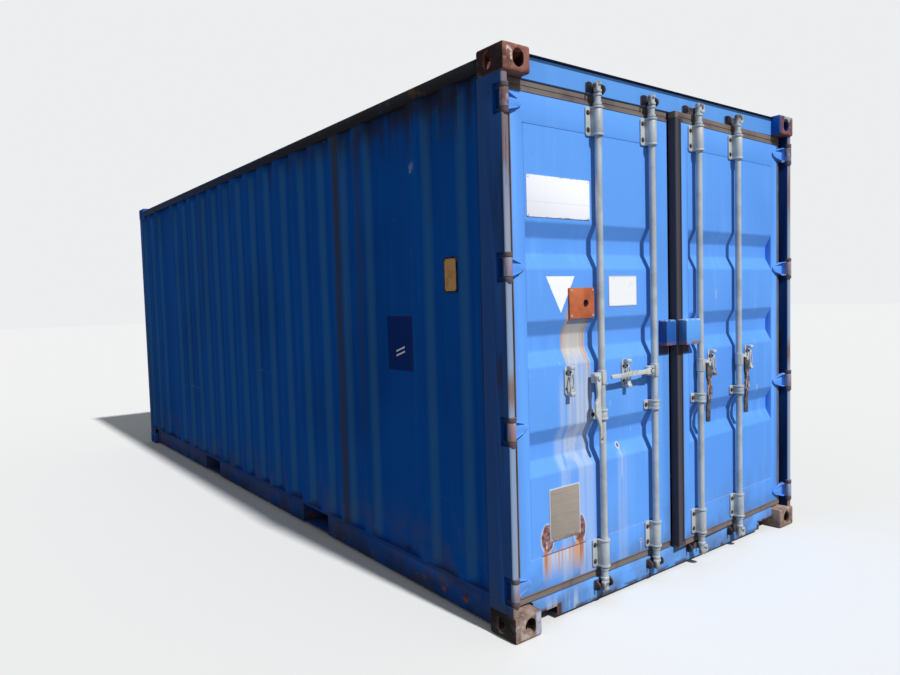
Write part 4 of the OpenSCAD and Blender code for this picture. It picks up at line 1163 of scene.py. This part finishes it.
make_plate("sign", sign_look(), zinc, "door_left")
make_plate("data_plate", data_look(), zinc, "door_left")
make_plate("side_plate", orange_look(), dark_steel, "container_body", X)
make_bolted_plate(rusty_plate_look(), pitch, zinc)
label_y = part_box("sign")[1].y
label = slab(*LABEL_X, *LABEL_Z, 0.006, label_y - 0.0008, label_y, bevel=0.0)
piece("sticker", label, sticker_look(), "door_left")

# Weld seams along the top and bottom of the side walls
for name, s in (("left", -1), ("right", 1)):
    outer = {}
    for p in (v.co for v in NODES["side_wall_" + name].data.vertices if v.co.z < 0.175):
        key = round(p.y, 4)
        outer[key] = max(outer.get(key, 0), abs(p.x))
    line = softened([(y, s * x) for y, x in sorted(outer.items())], 0.012)
    seams = [bead([(x + s * 0.001, y, z) for y, x in line if z < 1 or y < NOTCH[0] - 0.002], SEAM_R)
             for z in SEAMS_Z]
    piece("weld_seams_" + name, merged(seams), wall, "container_body")

# Keepers: two slim cheeks beside each cam on a welded plate
plates = []
header_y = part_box("door_header")[0].y + 0.015
front_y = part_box("keepers")[0].y
keeper_z = BAR_END + CAM_END + CAM_Z / 2
plate_x, plate_z, cheek_in, cheek_out = 0.056, 0.0235, 0.0425, 0.0505
for side, a in BARS.values():
    x = (a - PIN_X) if side == "left" else (PIN_X - a)
    for z in (keeper_z, HEIGHT - keeper_z):
        plates.append(slab(x - plate_x, x + plate_x, z - plate_z, z + plate_z, 0.008,
                           header_y - 0.004, header_y + 0.001, bevel=0.001))
        edge = [(header_y, 0.024), (header_y - 0.018, 0.024), (front_y + 0.01, 0.013)]
        cheek = ([(y, z - b) for y, b in edge] + [(front_y + 0.006, z)]
                 + [(y, z + b) for y, b in reversed(edge)])
        for s in (-1, 1):
            inner, outer = sorted((x + s * cheek_in, x + s * cheek_out))
            plates.append(prism(cheek, inner, outer, X, bevel=0.0015))
piece("keeper_cheeks", merged(plates), keeper_steel, "container_body", ("keepers",))


def seen_or_lit(tree, seen, lit, output):
    """What the camera sees, and what lights the object, in one material or world."""
    path = tree.nodes.new("ShaderNodeLightPath")
    mixed = tree.nodes.new("ShaderNodeMixShader")
    tree.links.new(path.outputs["Is Camera Ray"], mixed.inputs[0])
    tree.links.new(lit.outputs[0], mixed.inputs[1])
    tree.links.new(seen.outputs[0], mixed.inputs[2])
    tree.links.new(mixed.outputs[0], output.inputs["Surface"])


bpy.ops.mesh.primitive_plane_add(size=120, location=(0, 0, 0))
ground = bpy.context.object
ground.name = "ground"
ground_material = bpy.data.materials.new("ground")
ground_material.use_nodes = True
tree = ground_material.node_tree
pale, dim = (tree.nodes.new("ShaderNodeBsdfDiffuse") for _ in range(2))
pale.inputs["Color"].default_value = rgb(226, 226, 224)
dim.inputs["Color"].default_value = rgb(140, 140, 138)
seen_or_lit(tree, pale, dim, tree.nodes["Material Output"])
ground.data.materials.append(ground_material)

world = bpy.data.worlds.new("studio")
bpy.context.scene.world = world
world.use_nodes = True
tree = world.node_tree
tree.nodes.clear()
backdrop, fill = (tree.nodes.new("ShaderNodeBackground") for _ in range(2))
backdrop.inputs["Color"].default_value = rgb(236, 238, 240)
backdrop.inputs["Strength"].default_value = 1.0
fill.inputs["Color"].default_value = (0.9, 0.95, 1.0, 1.0)
fill.inputs["Strength"].default_value = 0.28
seen_or_lit(tree, backdrop, fill, tree.nodes.new("ShaderNodeOutputWorld"))

key_data = bpy.data.lights.new("key", "SUN")
key_data.energy = 3.8
key_data.angle = math.radians(2.5)
key = bpy.data.objects.new("key", key_data)
bpy.context.scene.collection.objects.link(key)
elevation, aside = math.radians(48), math.radians(4)
towards = Vector((math.sin(aside) * math.cos(elevation), -math.cos(aside) * math.cos(elevation),
                  math.sin(elevation)))
key.rotation_mode = "QUATERNION"
key.rotation_quaternion = towards.to_track_quat("Z", "Y")

camera_data = bpy.data.cameras.new("camera")
camera_data.lens = 27.67
camera_data.sensor_width = 36
camera_data.clip_end = 200
camera = bpy.data.objects.new("camera", camera_data)
camera.location = (-3.1928, -5.2123, 1.5273)
camera.rotation_euler = (1.5127866, 0.0286528, -0.651413)
bpy.context.scene.collection.objects.link(camera)
bpy.context.scene.camera = camera
bpy.context.scene.view_settings.view_transform = "Standard"
